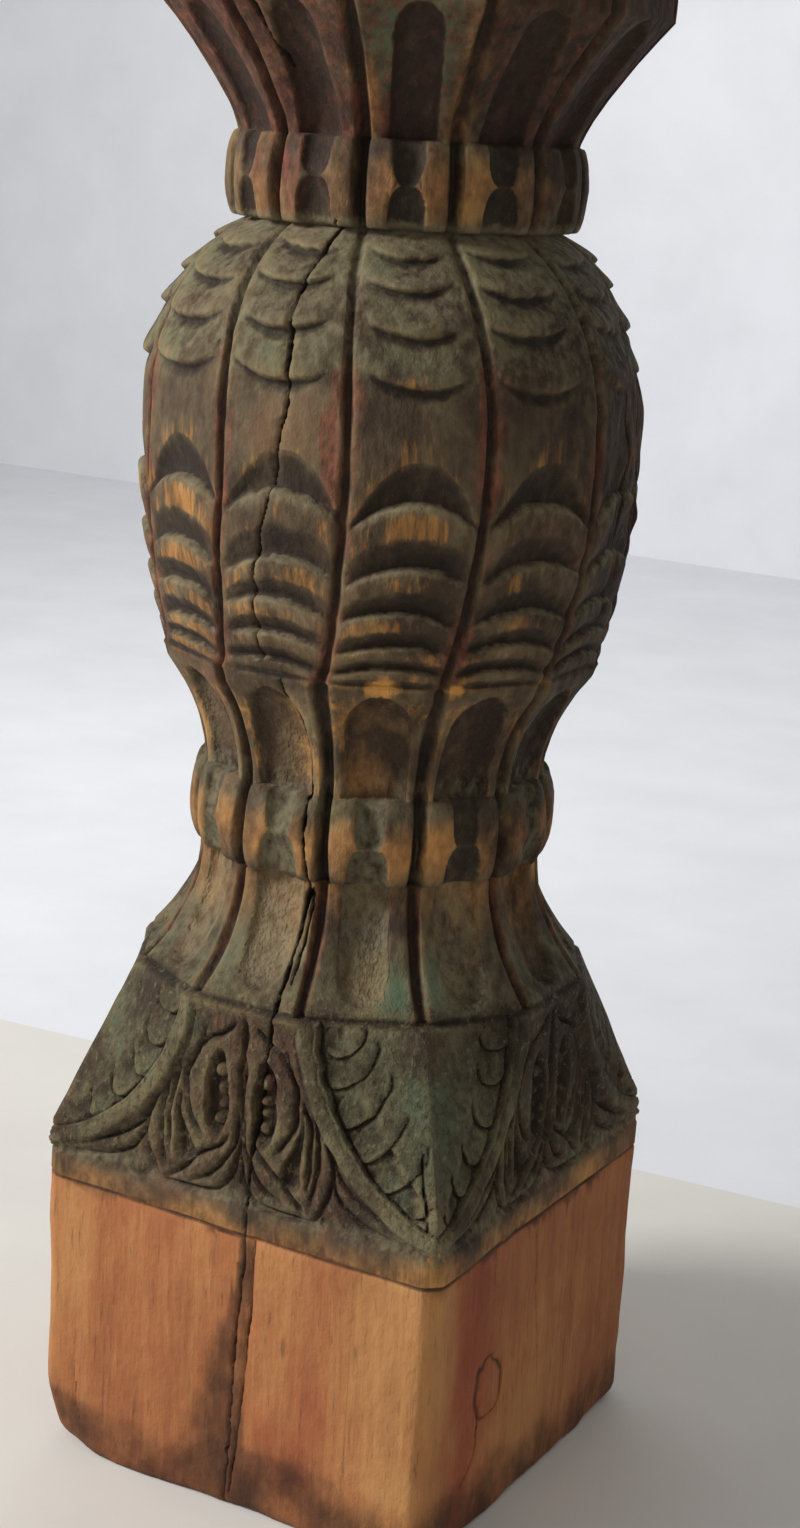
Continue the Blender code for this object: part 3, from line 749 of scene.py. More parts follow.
# %% Lines of the palmettes
# Each cut passes through points: distance from the face's middle, and drop from the line over the leaves.
PALMETTE_CUTS = {
    "socket_band": ((0.029, 0.018), (0.036, 0.038), (0.041, 0.051), (0.039, 0.066), (0.034, 0.078),
                    (0.027, 0.089)),
    "outer_fold": ((0.058, 0.062), (0.063, 0.076), (0.067, 0.089), (0.066, 0.105), (0.060, 0.119),
                   (0.053, 0.124)),
    "middle_fold": ((0.053, 0.060), (0.056, 0.078), (0.056, 0.094), (0.053, 0.113)),
    "inner_fold": ((0.046, 0.050), (0.050, 0.066), (0.051, 0.084), (0.050, 0.106)),
    "high_tail": ((0.066, 0.078), (0.070, 0.089), (0.080, 0.098), (0.101, 0.108), (0.126, 0.114)),
    "low_tail": ((0.067, 0.092), (0.071, 0.102), (0.080, 0.111), (0.098, 0.119), (0.126, 0.122)),
    "end_cut": ((0.003, 0.064), (0.002, 0.083), (0.008, 0.099), (0.017, 0.111), (0.033, 0.120)),
    "end_ridge": ((0.007, 0.082), (0.015, 0.093), (0.028, 0.102), (0.041, 0.114), (0.051, 0.122)),
    "outline": ((0.000, 0.087), (0.002, 0.106), (0.009, 0.118), (0.020, 0.1235), (0.039, 0.1245),
                (0.054, 0.1235)),
    "stem": ((0.000, 0.004), (0.0006, 0.040), (0.000, 0.080), (0.001, 0.116)),
    "shoulder": ((0.007, 0.012), (0.016, 0.020), (0.028, 0.026), (0.035, 0.034)),
}
CUT_DEPTH = 0.0036
CUT_HALF = 0.0021
SHOULDER_DEPTH = 0.0024
SHOULDER_HALF = 0.0065
MASS_DEPTH = 0.0020
SOCKET = (0.0170, 0.0600)
SOCKET_HALF = (0.0090, 0.0290)
SOCKET_DEPTH = 0.0095
TEARDROP = ((0.0440, 0.062), (0.0430, 0.078), (0.0400, 0.092), (0.0375, 0.101))
TEARDROP_HALVES = (0.0012, 0.0092)
TEARDROP_DEPTH = 0.0085
PITS = (((0.0025, 0.112), 0.0040), ((0.0640, 0.1205), 0.0042))
PIT_DEPTH = 0.006
BEADS = (((0.0160, 0.0450), 0.0052), ((0.0155, 0.0575), 0.0036), ((0.0160, 0.0665), 0.0030),
         ((0.0165, 0.0760), 0.0040))


print(len(PALMETTE_CUTS), "cuts,", len(BEADS), "beads and", len(PITS), "pits on each half of a face")

# %% [markdown]
# ## Smooth lines and distances
#
# A line of few points becomes a smooth one that passes through them all. The height near it is then worked
# out from each point's distance to it. Blender's curves are smooth in the same way, but they can't be asked
# for a distance.

# %% Smooth lines and distances


def smooth_line(controls, pieces=8):
    """A smooth line that passes through all the given points."""
    points = np.array(controls)
    ends = np.concatenate([[2 * points[0] - points[1]], points, [2 * points[-1] - points[-2]]])
    line = []
    for before, start, stop, after in zip(ends[:-3], ends[1:-2], ends[2:-1], ends[3:]):
        for along in np.arange(pieces) / pieces:
            bend = (2 * before - 5 * start + 4 * stop - after) * along ** 2
            turn = (3 * start - before - 3 * stop + after) * along ** 3
            line.append(start + ((stop - before) * along + bend + turn) / 2)
    return np.array(line + [points[-1]])


def distance_to(points, x, y):
    """Distance of every grid point from a line through the given points, and how far along it that is."""
    nearest = np.full(x.shape, 1.0)
    position = np.zeros(x.shape)
    for number, (start, end) in enumerate(zip(points[:-1], points[1:])):
        step = end - start
        along = np.clip(((x - start[0]) * step[0] + (y - start[1]) * step[1]) / (step @ step), 0, 1)
        gap = np.hypot(x - start[0] - along * step[0], y - start[1] - along * step[1])
        closer = gap < nearest
        nearest = np.where(closer, gap, nearest)
        position = np.where(closer, (number + along) / (len(points) - 1), position)
    return nearest, position


print("outer fold drawn through", len(smooth_line(PALMETTE_CUTS["outer_fold"])), "points")

# %% [markdown]
# ## Folds of the palmettes
#
# Each cut leaves a sharp notch with a round shoulder on both sides, and between two cuts that makes a fold.
# The sockets, teardrops and pits go deeper, and the beads are left standing in them.

# %% Folds of the palmettes


def fold_cuts(x, y):
    """The notches of the knife cuts and the shoulders beside them, each from 0 to 1."""
    notch = np.zeros(x.shape)
    shoulder = np.zeros(x.shape)
    for controls in PALMETTE_CUTS.values():
        gap, position = distance_to(smooth_line(controls), x, y)
        fine_end = 0.35 + 0.65 * np.clip(np.minimum(position, 1 - position) / 0.15, 0, 1)
        notch = np.maximum(notch, np.clip(1 - gap / CUT_HALF, 0, 1) * fine_end)
        shoulder = np.maximum(shoulder, np.clip(1 - gap / SHOULDER_HALF, 0, 1) ** 1.6 * fine_end)
    return notch, shoulder


def palmette_hollows(x, y):
    """Depth of the sockets, teardrops and pits, less the beads that stand in them."""
    oval = np.hypot((x - SOCKET[0]) / SOCKET_HALF[0], (y - SOCKET[1]) / SOCKET_HALF[1])
    socket = SOCKET_DEPTH * np.clip((1.04 - oval) / 0.30, 0, 1) ** 0.6
    gap, position = distance_to(smooth_line(TEARDROP), x, y)
    narrow, wide = TEARDROP_HALVES
    drop_half = narrow + (wide - narrow) * position ** 1.2
    teardrop = TEARDROP_DEPTH * np.clip((1.05 - gap / drop_half) / 0.55, 0, 1) ** 0.8
    teardrop = teardrop * np.clip(0.45 + position, 0, 1)
    hollow = np.maximum(socket, teardrop)
    for (pit_x, pit_y), radius in PITS:
        gap = np.hypot(x - pit_x, y - pit_y) / radius
        hollow = np.maximum(hollow, PIT_DEPTH * np.clip(1.1 - gap, 0, 1) ** 0.6)
    for (bead_x, bead_y), radius in BEADS:
        gap = np.hypot((x - bead_x) / 1.15, y - bead_y) / radius
        hollow = hollow - np.where(gap < 1, 1.25 * radius * dome(np.clip(gap, 0, 1)), 0)
    return hollow


def palmette_depth():
    """How far the surface between the leaves lies below the face, and a mask of its cuts and hollows."""
    rows = (levels <= BELL_FOOT) & (levels > BLOCK_HEIGHT - 0.004)
    x = FACE_PLACE[rows] * BASE_WIDTH / 2 + 0.0013 * patches(36, 80, 151)[rows]
    x = x + 0.0004 * patches(160, 300, 153)[rows]
    y = BELL_FOOT - LEVEL[rows] + 0.0013 * patches(36, 80, 152)[rows]
    notch, shoulder = fold_cuts(x, y)
    hollow = palmette_hollows(x, y)
    depth = np.maximum(MASS_DEPTH + CUT_DEPTH * notch + SHOULDER_DEPTH * shoulder, hollow)
    outside_rim = ease(share(-INSIDE_RIM[rows], -0.0004, 0.0026))
    opening = ease(share(y, 0.002, 0.012)) * (1 - ease(share(y, LEAF_HEIGHT + 0.001, LEAF_HEIGHT + 0.004)))
    lip = 0.0030 * np.clip(1 + INSIDE_RIM[rows] / 0.0035, 0, 1) * outside_rim
    result = np.zeros(LEVEL.shape)
    mask = np.zeros(LEVEL.shape)
    result[rows] = (depth + lip) * outside_rim * opening
    mask[rows] = np.clip(notch + hollow / SOCKET_DEPTH, 0, 1) * outside_rim * opening
    return result, mask


PALMETTE_CUT, IN_PALMETTE = palmette_depth()
print("palmettes cut to", round(float(PALMETTE_CUT.max()) * 1000, 1), "mm")

# %% [markdown]
# ## Cracks
#
# A timber this thick splits as it dries. The main check runs down the front face from the pot to the floor,
# wide in some places and closed in others, and other faces have shorter ones. Each crack is a smooth line
# through a few points on the surface, cut deep and narrow. Cutting them with booleans would work too, but a
# thin wedge leaves broken edges behind.

# %% Cracks
# Each crack passes through points, given by direction in degrees and level. Then come half width and depth.
CRACKS = {
    "pot_top": (((-82.4, 0.790), (-83.0, 0.775), (-84.2, 0.764), (-85.4, 0.746), (-84.9, 0.730),
                 (-83.8, 0.708), (-83.6, 0.690), (-85, 0.668)), 0.0015, 0.012),
    "pot_low": (((-85, 0.668), (-86.2, 0.640), (-88.6, 0.618), (-90.5, 0.590), (-91, 0.560), (-90, 0.540)),
                0.0009, 0.007),
    "neck": (((-86.5, 0.530), (-82.5, 0.505), (-80.5, 0.478), (-80.0, 0.455)), 0.0014, 0.010),
    "ring": (((-80.5, 0.456), (-80.5, 0.430), (-79.5, 0.404)), 0.0015, 0.010),
    "bell": (((-79.0, 0.404), (-79.5, 0.385), (-80.5, 0.365), (-81.5, 0.345), (-82.0, 0.327)), 0.0019, 0.012),
    "bell_side": (((-77.6, 0.400), (-78.0, 0.372), (-79.6, 0.345)), 0.0014, 0.008),
    "leaves": (((-82.0, 0.329), (-83.0, 0.305), (-84.5, 0.280), (-85.5, 0.255), (-86.2, 0.230),
                (-86.2, 0.204)), 0.0018, 0.009),
    "block_front": (((-86.2, 0.206), (-86.0, 0.175), (-87.0, 0.130), (-87.8, 0.094), (-88.2, 0.050),
                     (-88.6, 0.0)), 0.0011, 0.007),
    "block_front_side": (((-83.1, 0.184), (-83.4, 0.150), (-84.2, 0.105), (-85.4, 0.060), (-87.4, 0.010)),
                         0.0009, 0.004),
    "block_right": (((-3.5, 0.176), (-1.0, 0.120), (1.4, 0.076)), 0.0008, 0.004),
    "knot_below": (((-28.6, 0.077), (-29.2, 0.053), (-33.2, 0.037)), 0.0013, 0.006),
    "block_left_short": (((-128.9, 0.062), (-128.6, 0.040), (-128.1, 0.022)), 0.0010, 0.004),
    "corner_cleft": (((-46.5, 0.262), (-46.8, 0.245), (-46.2, 0.232), (-46.6, 0.220)), 0.0012, 0.005),
    "pot_right_a": (((9.0, 0.720), (6.0, 0.690), (8.5, 0.660), (5.0, 0.630), (7.5, 0.600), (6.0, 0.565)),
                    0.0020, 0.009),
    "pot_right_b": (((16.0, 0.700), (14.0, 0.660), (18.0, 0.630), (15.0, 0.590)), 0.0016, 0.007),
    "pot_back": (((96.0, 0.775), (94.0, 0.720), (97.0, 0.650), (95.0, 0.580), (96.5, 0.535)), 0.0022, 0.010),
    "block_back": (((92.0, 0.206), (91.0, 0.120), (93.0, 0.050), (92.5, 0.0)), 0.0024, 0.008),
    "block_left": (((176.0, 0.200), (177.5, 0.110), (176.5, 0.020)), 0.0018, 0.006),
    "lip_front": (((-101.0, 0.956), (-99.5, 0.925), (-98.0, 0.900), (-96.0, 0.872)), 0.0024, 0.010),
    "lip_back": (((70.0, 0.956), (71.5, 0.920), (70.0, 0.890)), 0.0020, 0.008),
}


def crack_depth():
    """How deep the cracks are cut everywhere, and a mask that is 1 in and beside them."""
    cut = np.zeros(LEVEL.shape)
    beside = np.zeros(LEVEL.shape)
    for seed, (line, width, depth) in enumerate(CRACKS.values()):
        low = min(point[1] for point in line) - 0.01
        high = max(point[1] for point in line) + 0.01
        rows = (levels >= low) & (levels <= high)
        middle = math.radians(sum(point[0] for point in line) / len(line))
        distance_out = np.where(LEVEL[rows] > BELL_FOOT, TURNED[rows], FOOT_RADIUS[rows])
        x = half_turn(ANGLE[rows] - middle) * distance_out
        x = x + 0.0006 * patches(150, 130, 200 + seed)[rows]
        y = LEVEL[rows]
        reach = float(np.mean(distance_out))
        route = [((math.radians(angle) - middle) * reach, level) for angle, level in line]
        gap, position = distance_to(smooth_line(route), x, y)
        swell = 0.55 + 0.45 * np.sin(position * 17 + seed * 2.1) * np.sin(position * 7.3 + seed)
        ends = np.clip(np.minimum(position, 1 - position) / 0.06, 0.15, 1)
        half = np.maximum(width * swell * ends, 0.0006)
        opened = np.clip(1 - gap / half, 0, 1) ** 0.7
        cut[rows] = np.maximum(cut[rows], depth * opened * np.clip(swell * 1.3, 0.4, 1))
        beside[rows] = np.maximum(beside[rows], np.clip(1.6 - gap / half, 0, 1))
    return cut, beside


CRACK_CUT, IN_CRACK = crack_depth()
print(len(CRACKS), "cracks, deepest", round(float(CRACK_CUT.max()) * 1000, 1), "mm")

# %% [markdown]
# ## Lines cut round the timber
#
# A fine line runs round the block a little below the leaves' tips, and a deeper one closes the leaves on
# top. Both were cut by hand, so they waver in height. A loop of edges could carry them, but as a change to
# the distance they follow every form that they cross.

# %% Lines cut round the timber
BLOCK_LINE_DROP = 0.020
LINE_HALF = 0.0011
LINE_DEPTH = 0.0017
LINE_WAVER = 0.0014
BASE_LINE_HALF = 0.0028
BASE_LINE_DEPTH = 0.0036
BASE_LINE_WAVER = 0.0006
BLOCK_LINE = BLOCK_HEIGHT - BLOCK_LINE_DROP


def ring_line(level, half, depth, wobble, seed):
    """A thin line cut round the timber by hand."""
    at = level + wobble * patches(16, 4, seed)[:1] + wobble * 0.4 * patches(60, 4, seed + 1)[:1]
    gap = np.abs(LEVEL - at) / half
    return depth * np.clip(1 - gap, 0, 1), np.clip(1.5 - gap, 0, 1)


block_line, in_block_line = ring_line(BLOCK_LINE, LINE_HALF, LINE_DEPTH, LINE_WAVER, 161)
base_line, in_base_line = ring_line(BELL_FOOT, BASE_LINE_HALF, BASE_LINE_DEPTH, BASE_LINE_WAVER, 163)
LINE_CUT = block_line + base_line
IN_LINE = np.maximum(in_block_line, in_base_line)
print("line round the block at", round(BLOCK_LINE, 3))

# %% [markdown]
# ## Wear of the block
#
# The block stood in the damp. Its bottom edges have rounded, most at the corners and most of all at the
# left one, and its faces are no longer quite flat. On the right face a knot stands in a ring that has
# opened round it. Wear could be sculpted, but it follows simple habits, so a few patches and distances are
# enough.

# %% Wear of the block
KNOT_DEGREES, KNOT_LEVEL = -24.3, 0.092
KNOT_HALF = (0.0165, 0.0185)
KNOT_DEPTH = 0.0022
LEFT_CORNER = -math.pi * 0.75
LEFT_CORNER_LOSS = 0.014


def block_wear():
    """Wood lost from the block's bottom edges and corners, and a mask of the knot's ring."""
    near_corner = share(FACE_PLACE, 0.72, 1.0)
    foot_round = 0.006 + 0.010 * near_corner * (1 + patches(8, 6, 171)) + 0.004 * patches(40, 8, 172)
    rise = np.clip(1 - LEVEL / np.maximum(foot_round, 0.002), 0, 1)
    lost = foot_round * (1 - np.sqrt(np.clip(1 - rise ** 2, 0, 1))) * 0.8
    left_corner = ease(share(np.abs(half_turn(ANGLE - LEFT_CORNER)), 0.20, 0.0))
    lost = lost + LEFT_CORNER_LOSS * left_corner * (1 - share(LEVEL, 0, 0.045)) ** 2
    uneven = 0.0008 * patches(16, 14, 173) + 0.0004 * patches(60, 40, 174)
    on_block = share(BELL_FOOT - LEVEL, 0.10, 0.13)
    knot_x = (ANGLE - math.radians(KNOT_DEGREES)) * FOOT_RADIUS
    knot = np.hypot(knot_x / KNOT_HALF[0], (LEVEL - KNOT_LEVEL) / KNOT_HALF[1])
    wavering = 0.24 * patches(70, 60, 175) + 0.14 * patches(160, 150, 176)
    knot_ring = np.clip(1.1 - np.abs(knot - 1 + wavering) / (0.30 + 0.20 * patches(60, 50, 177)), 0, 1)
    swirl = np.clip(1 - knot / 1.5, 0, 1)
    cut = np.where(LEVEL < BLOCK_HEIGHT, lost + KNOT_DEPTH * knot_ring - 0.0006 * swirl, 0)
    return cut + uneven * on_block, np.where(LEVEL < BLOCK_HEIGHT, knot_ring, 0)


BLOCK_LOST, IN_KNOT = block_wear()
print("most wood lost at the block's foot", round(float(BLOCK_LOST.max()) * 1000, 1), "mm")

# %% [markdown]
# ## Age
#
# Rain and hands have softened the carving, and the right side of the pot is badly decayed. Slow patches
# move the whole surface in and out a little, the decayed side loses its scales, and fine vertical grain is
# left standing by the softer wood between it.

# %% Age
DECAY_MIDDLE = math.radians(14)
DECAY_DEPTH = 0.0030
SHOULDER_MIDDLE = math.radians(24)
SHOULDER_LOSS = 0.0045


def age():
    """Unevenness of the whole surface, and a mask of the decayed side of the pot."""
    turn = np.abs(half_turn(ANGLE - DECAY_MIDDLE))
    decay = ease(share(turn, math.radians(26), math.radians(6))) * level_fade(0.540, 0.600)
    decay = decay * level_fade(0.770, 0.720) * (0.75 + 0.25 * patches(30, 40, 181))
    slow = 0.0007 * patches(24, 30, 182) + 0.0004 * patches(70, 80, 183)
    grain = 0.00012 * patches(336, 60, 184) + 0.00008 * patches(500, 120, 185)
    lump = 0.0028 * patches(60, 34, 186) + 0.0016 * patches(120, 60, 187)
    shoulder = ease(share(np.abs(half_turn(ANGLE - SHOULDER_MIDDLE)), 0.42, 0.1))
    shoulder = shoulder * level_fade(0.675, 0.715) * level_fade(0.780, 0.745)
    return slow + grain + lump * decay - DECAY_DEPTH * decay - SHOULDER_LOSS * shoulder, decay


AGED, DECAY = age()
SCALE_PROUD = SCALE_PROUD * (1 - 0.75 * DECAY)
print("decayed share of the grid:", round(float((DECAY > 0.3).mean()), 4))

# %% [markdown]
# ## The carved surface
#
# The stages are put together: foot below, shaft above. Then the surface is compared with a blurred copy of
# itself. Where it stands above the blur it is a ridge, which rubs bare and is painted lighter as a highlight,
# and where it lies below it is a hollow, which keeps its dirt and is painted darker as shade. The finish
# uses both.

# %% Put the surface together


def blurred(field, column_reach, row_reach):
    """A box blur that wraps round the axis and stops at the ends."""
    padded = np.concatenate([field[:, -column_reach:], field, field[:, :column_reach]], axis=1)
    sums = np.cumsum(np.pad(padded, ((0, 0), (1, 0))), axis=1)
    field = (sums[:, 2 * column_reach + 1:] - sums[:, :-2 * column_reach - 1]) / (2 * column_reach + 1)
    padded = np.pad(field, ((row_reach, row_reach), (0, 0)), mode="edge")
    sums = np.cumsum(np.pad(padded, ((1, 0), (0, 0))), axis=0)
    return (sums[2 * row_reach + 1:] - sums[:-2 * row_reach - 1]) / (2 * row_reach + 1)


SCALE_PROUD = blurred(SCALE_PROUD, 2, 1)
shaft = RADIUS - GROOVE_CUT - CHANNEL_CUT - SCOOP_CUT + SCALE_PROUD
foot = FOOT_RADIUS + LEAF_RELIEF - PALMETTE_CUT - BLOCK_LOST
surface = np.where(LEVEL > BELL_FOOT, shaft, foot) - LINE_CUT + AGED
surface = surface - CRACK_CUT


def cell_count(reach, step):
    """A reach in metres as a number of grid cells."""
    return max(1, int(round(reach / step)))


column_step = 2 * math.pi * 0.145 / COLUMNS
near = blurred(surface, cell_count(0.004, column_step), cell_count(0.004, FINE_STEP))
wide = blurred(surface, cell_count(0.011, column_step), cell_count(0.011, FINE_STEP))
HIGH = np.clip((surface - near) / 0.0012, 0, 1) * 0.6 + np.clip((surface - wide) / 0.0030, 0, 1) * 0.4
LOW = np.clip((near - surface) / 0.0014, 0, 1) * 0.5 + np.clip((wide - surface) / 0.0035, 0, 1) * 0.5
HALF_REACH = (solid_box[1][0] - solid_box[0][0]) / 2
surface = np.where(LEVEL < BELL_FOOT, surface, np.minimum(surface, HALF_REACH - 0.0005))
print("surface from", round(float(surface.min()), 4), "to", round(float(surface.max()), 4))

# %% [markdown]
# ## Where each finish lies
#
# The timber was painted more than once, then rubbed, wetted and dusted for a long time. Each finish gets a
# mask here: 0 where it is gone, 1 where it covers, with soft borders that the shader breaks up later. Marks
# that the real one has in one place only are listed by name, with their direction in degrees, their level
# in metres, their half width in degrees and their half height in metres. Painting the masks by hand would
# also work, but then they wouldn't follow a changed size.

# %% Marks and soft limits
BAND_FOOT, BAND_TOP = 0.640, 0.700
MARKS = {
    "green_spot": (-38.5, 0.667, 3.6, 0.010),
    "red_patch": (-73.0, 0.668, 3.4, 0.040),
    "gold_arris": (-59.5, POT_FOOT - 0.001, 5.6, 0.0085),
    "small_gold_arris": (-41, POT_FOOT, 3.4, 0.005),
    "teal_bell": (-47, BELL_FOOT + 0.020, 15, 0.024),
    "teal_ring": (-46, UPPER_RING_FOOT + 0.025, 7, 0.010),
    "ruddy_block": (-72, 0.07, 13, 0.08),
}
SOFT = 0.5 + 0.5 * patches(14, 26, 191)
SOFT_FINE = 0.5 + 0.5 * patches(44, 80, 192)
CLUMPS = ease(share(patches(56, 44, 193) + 0.5 * patches(120, 90, 194), -0.15, 0.55))
ABOVE_BLOCK = level_fade(BLOCK_HEIGHT - 0.016, BLOCK_HEIGHT + 0.014)


def near_angle(degrees, reach):
    """1 at a direction round the axis, falling to 0 at the given reach on both sides, in degrees."""
    turn = np.abs(half_turn(ANGLE - math.radians(degrees)))
    return ease(share(turn, math.radians(reach), 0))


def near_mark(name):
    """1 in the middle of a named mark, falling to 0 at its border."""
    degrees, level, wide, tall = MARKS[name]
    turn = half_turn(ANGLE - math.radians(degrees))
    return np.clip(1.5 - 1.5 * np.hypot(turn / math.radians(wide), (LEVEL - level) / tall), 0, 1)


def near_groove(reach, full):
    """1 closer to a groove than the second distance, falling to 0 at the first one."""
    return ease(share(TO_GROOVE, reach, full))


def strongest(*fields):
    """The strongest of several finishes at each point, from 0 to 1."""
    return np.clip(np.maximum.reduce(fields), 0, 1)


FLARE_GREEN = np.where(ON_FLARE, near_angle(-60, 22) * share(LEVEL, 0.830, 0.866), 0)
ARRIS_GOLD = np.clip(1.8 * (near_mark("gold_arris") + 0.8 * near_mark("small_gold_arris")), 0, 1)
print("marks:", ", ".join(MARKS))

# %% [markdown]
# ## Green paint
#
# Grey-green paint is left thick on the leaves and the bell, and thin on the pot's scales and the rings. On
# the leaves it lies inside the rims. It turned a brighter, bluer green on the front leaf's rib, on the bell
# above it and on one panel of the flare.

# %% Green paint


def green_paint():
    """Where grey-green paint is left."""
    leaf = np.where(INSIDE_RIM > 0, 0.70, 0.30) * (LEVEL <= BELL_FOOT)
    leaf = leaf * level_fade(BLOCK_LINE + 0.004, BLOCK_LINE + 0.030) * (0.75 + 0.45 * SOFT)
    on_bell = level_fade(LOWER_RING_FOOT - 0.004, BELL_FOOT + 0.016)
    bell = np.where(ON_BELL, (0.45 + 0.45 * SOFT) * on_bell * (1 - 0.5 * IN_CHANNEL), 0)
    bell = bell + np.where(ON_BELL, 0.35 * near_angle(-35, 22), 0)
    on_scales = level_fade(BAND_TOP - 0.010, BAND_TOP + 0.010)
    on_scales = on_scales * level_fade(UPPER_RING_FOOT + 0.003, UPPER_RING_FOOT - 0.017)
    scales = on_scales * (0.26 + 0.46 * SOFT)
    upper_ring = np.where(ON_UPPER_RING, 1.20 * near_angle(-46, 40) * SOFT_FINE, 0)
    lower_ring = np.where(ON_LOWER_RING, 0.16 + 0.50 * SOFT_FINE, 0)
    flare = 1.9 * FLARE_GREEN * (0.30 + 0.70 * SOFT_FINE) * (1 - IN_CHANNEL)
    return strongest(leaf, bell, scales, upper_ring, lower_ring, flare, 1.3 * near_mark("green_spot"))


def teal_paint():
    """Where the green is brighter and bluer."""
    rib = near_angle(-44, 9) * level_fade(BLOCK_HEIGHT + 0.029, BLOCK_HEIGHT + 0.044) * (LEVEL < 0.300)
    flare = FLARE_GREEN * (LEVEL > 0.850)
    return strongest(0.60 * rib, 0.55 * near_mark("teal_bell"), 0.9 * flare, near_mark("green_spot"),
                     0.6 * near_mark("teal_ring"))


GREEN, TEAL = green_paint(), teal_paint()
print("green mean", round(float(GREEN.mean()), 3), "teal mean", round(float(TEAL.mean()), 3))

# %% [markdown]
# ## Red-brown paint
#
# Red-brown paint is left in strips beside the pot's grooves, over most of the flare, most of all on its
# left, and in the folds of the palmettes. It was probably the colour of the whole background once.

# %% Red-brown paint


def red_paint():
    """Where red-brown paint is left."""
    strips = np.where(ON_POT, near_groove(0.0130, 0.0030) * (0.25 + 0.65 * SOFT), 0)
    strips = strips * level_fade(BAND_TOP + 0.060, BAND_TOP)
    patch = 1.4 * near_mark("red_patch") * ON_POT
    flare = np.where(ON_FLARE, (0.40 + 0.60 * SOFT) * (0.60 + 0.70 * near_angle(-115, 60)), 0)
    ring = np.where(ON_UPPER_RING, 0.55 * near_angle(-105, 35), 0)
    bell = np.where(ON_BELL, 0.55 * near_groove(0.0070, 0.0030), 0)
    neck = np.where(ON_NECK, 0.45 * near_groove(0.0090, 0.0030) * SOFT, 0)
    folds = np.where(LEVEL < BELL_FOOT, 0.42 * ease(share(INSIDE_RIM, 0.002, -0.012)) * SOFT, 0)
    folds = folds * level_fade(BLOCK_HEIGHT - 0.004, BLOCK_HEIGHT + 0.01)
    return strongest(strips, patch, flare, ring, bell, neck, folds)


RED = red_paint()
print("red mean", round(float(RED.mean()), 3))

# %% [markdown]
# ## Bare wood
#
# The block is bare below the line cut round it. Higher up, the wood shows in clumps where hands and rain
# reached it: on the bodies of the arches, under the last scale, beside the neck's channels and on two spots
# of the arris.

# %% Bare wood


def bare_wood():
    """Where the wood shows."""
    block = level_fade(BLOCK_LINE + 0.003, BLOCK_LINE - 0.001)
    arches = arch_body * (0.14 + 0.80 * CLUMPS) * level_fade(BAND_FOOT + 0.040, BAND_FOOT)
    last_scale = hanging_lip * (0.85 * CLUMPS) * level_fade(BAND_TOP + 0.022, BAND_TOP)
    brows = brow * (0.16 + 0.50 * CLUMPS)
    neck = np.where(ON_NECK, (1 - IN_CHANNEL) * (0.15 + 0.60 * CLUMPS) * share(TO_GROOVE, 0.002, 0.007), 0)
    neck = neck * level_fade(POT_FOOT - 0.002, POT_FOOT - 0.020)
    at_corner = ease(share(FACE_PLACE, 0.80, 0.97)) * (LEVEL < BELL_FOOT)
    tip = 0.26 * level_fade(BLOCK_HEIGHT + 0.039, BLOCK_HEIGHT + 0.006) * at_corner
    return strongest(block, arches, last_scale, brows, neck, tip, ARRIS_GOLD)


BARE = bare_wood()
print("bare mean", round(float(BARE.mean()), 3))

# %% [markdown]
# ## Golden wood
#
# Where the timber stands out most, the wood is rubbed smooth and golden: in a belt round each ring, along
# the arris, on the band above the block's line, and thinly on the bell, the neck's front channel and the
# flare.

# %% Golden wood


def golden_wood():
    """Where the wood is rubbed smooth and golden."""
    upper_belt = 1 - share(np.abs(LEVEL - (UPPER_RING_FOOT + 0.48 * UPPER_RING_HEIGHT)), 0.006, 0.021)
    upper = np.where(ON_UPPER_RING, (0.16 + 1.05 * upper_belt * near_angle(-52, 44)) * (1 - IN_SCOOP), 0)
    lower_belt = 1 - share(np.abs(LEVEL - (LOWER_RING_FOOT + 0.42 * LOWER_RING_HEIGHT)), 0.006, 0.022)
    lower = np.where(ON_LOWER_RING, (0.06 + 0.84 * lower_belt) * (1 - IN_SCOOP), 0)
    rings = (upper + lower) * np.clip(TO_GROOVE / 0.006, 0, 1) * (0.65 + 0.45 * SOFT_FINE)
    arris = np.clip(1 - np.abs(LEVEL - POT_FOOT) / 0.004, 0, 1) * 0.55 * SOFT_FINE
    band = 0.66 * level_fade(BLOCK_HEIGHT + 0.002, BLOCK_LINE) * level_fade(BLOCK_LINE - 0.002, BLOCK_LINE)
    bell_top = level_fade(BELL_FOOT + 0.031, LOWER_RING_FOOT - 0.002)
    bell = np.where(ON_BELL, 0.16 * IN_CHANNEL + 0.45 * bell_top * (0.5 + SOFT), 0)
    neck = np.where(ON_NECK, 0.52 * IN_CHANNEL * near_angle(-66, 34), 0)
    flare = np.where(ON_FLARE, 0.75 * CLUMPS * near_groove(0.014, 0.006) * near_angle(-66, 40), 0)
    return strongest(rings, arris, band, bell, neck, flare)


AMBER = golden_wood()
print("golden mean", round(float(AMBER.mean()), 3))

# %% [markdown]
# ## Dirt and painted shade
#
# Old film and dirt darken what lies deep: grooves, scoops, the flare's channels and the palmettes, and
# shade is painted there as well. Under the scales and in the arches' hollows the darkening is painted shade.
# The right side, away from the lamp, is painted darker as a whole as shade. The block's foot has drawn up
# damp, and a stain has spread from its long crack, wider to the left of it and lower down.

# %% Dirt and painted shade
STAIN_TURN = 273.6
STAIN_LEAN = 2.4
STAIN_TOP = 0.190


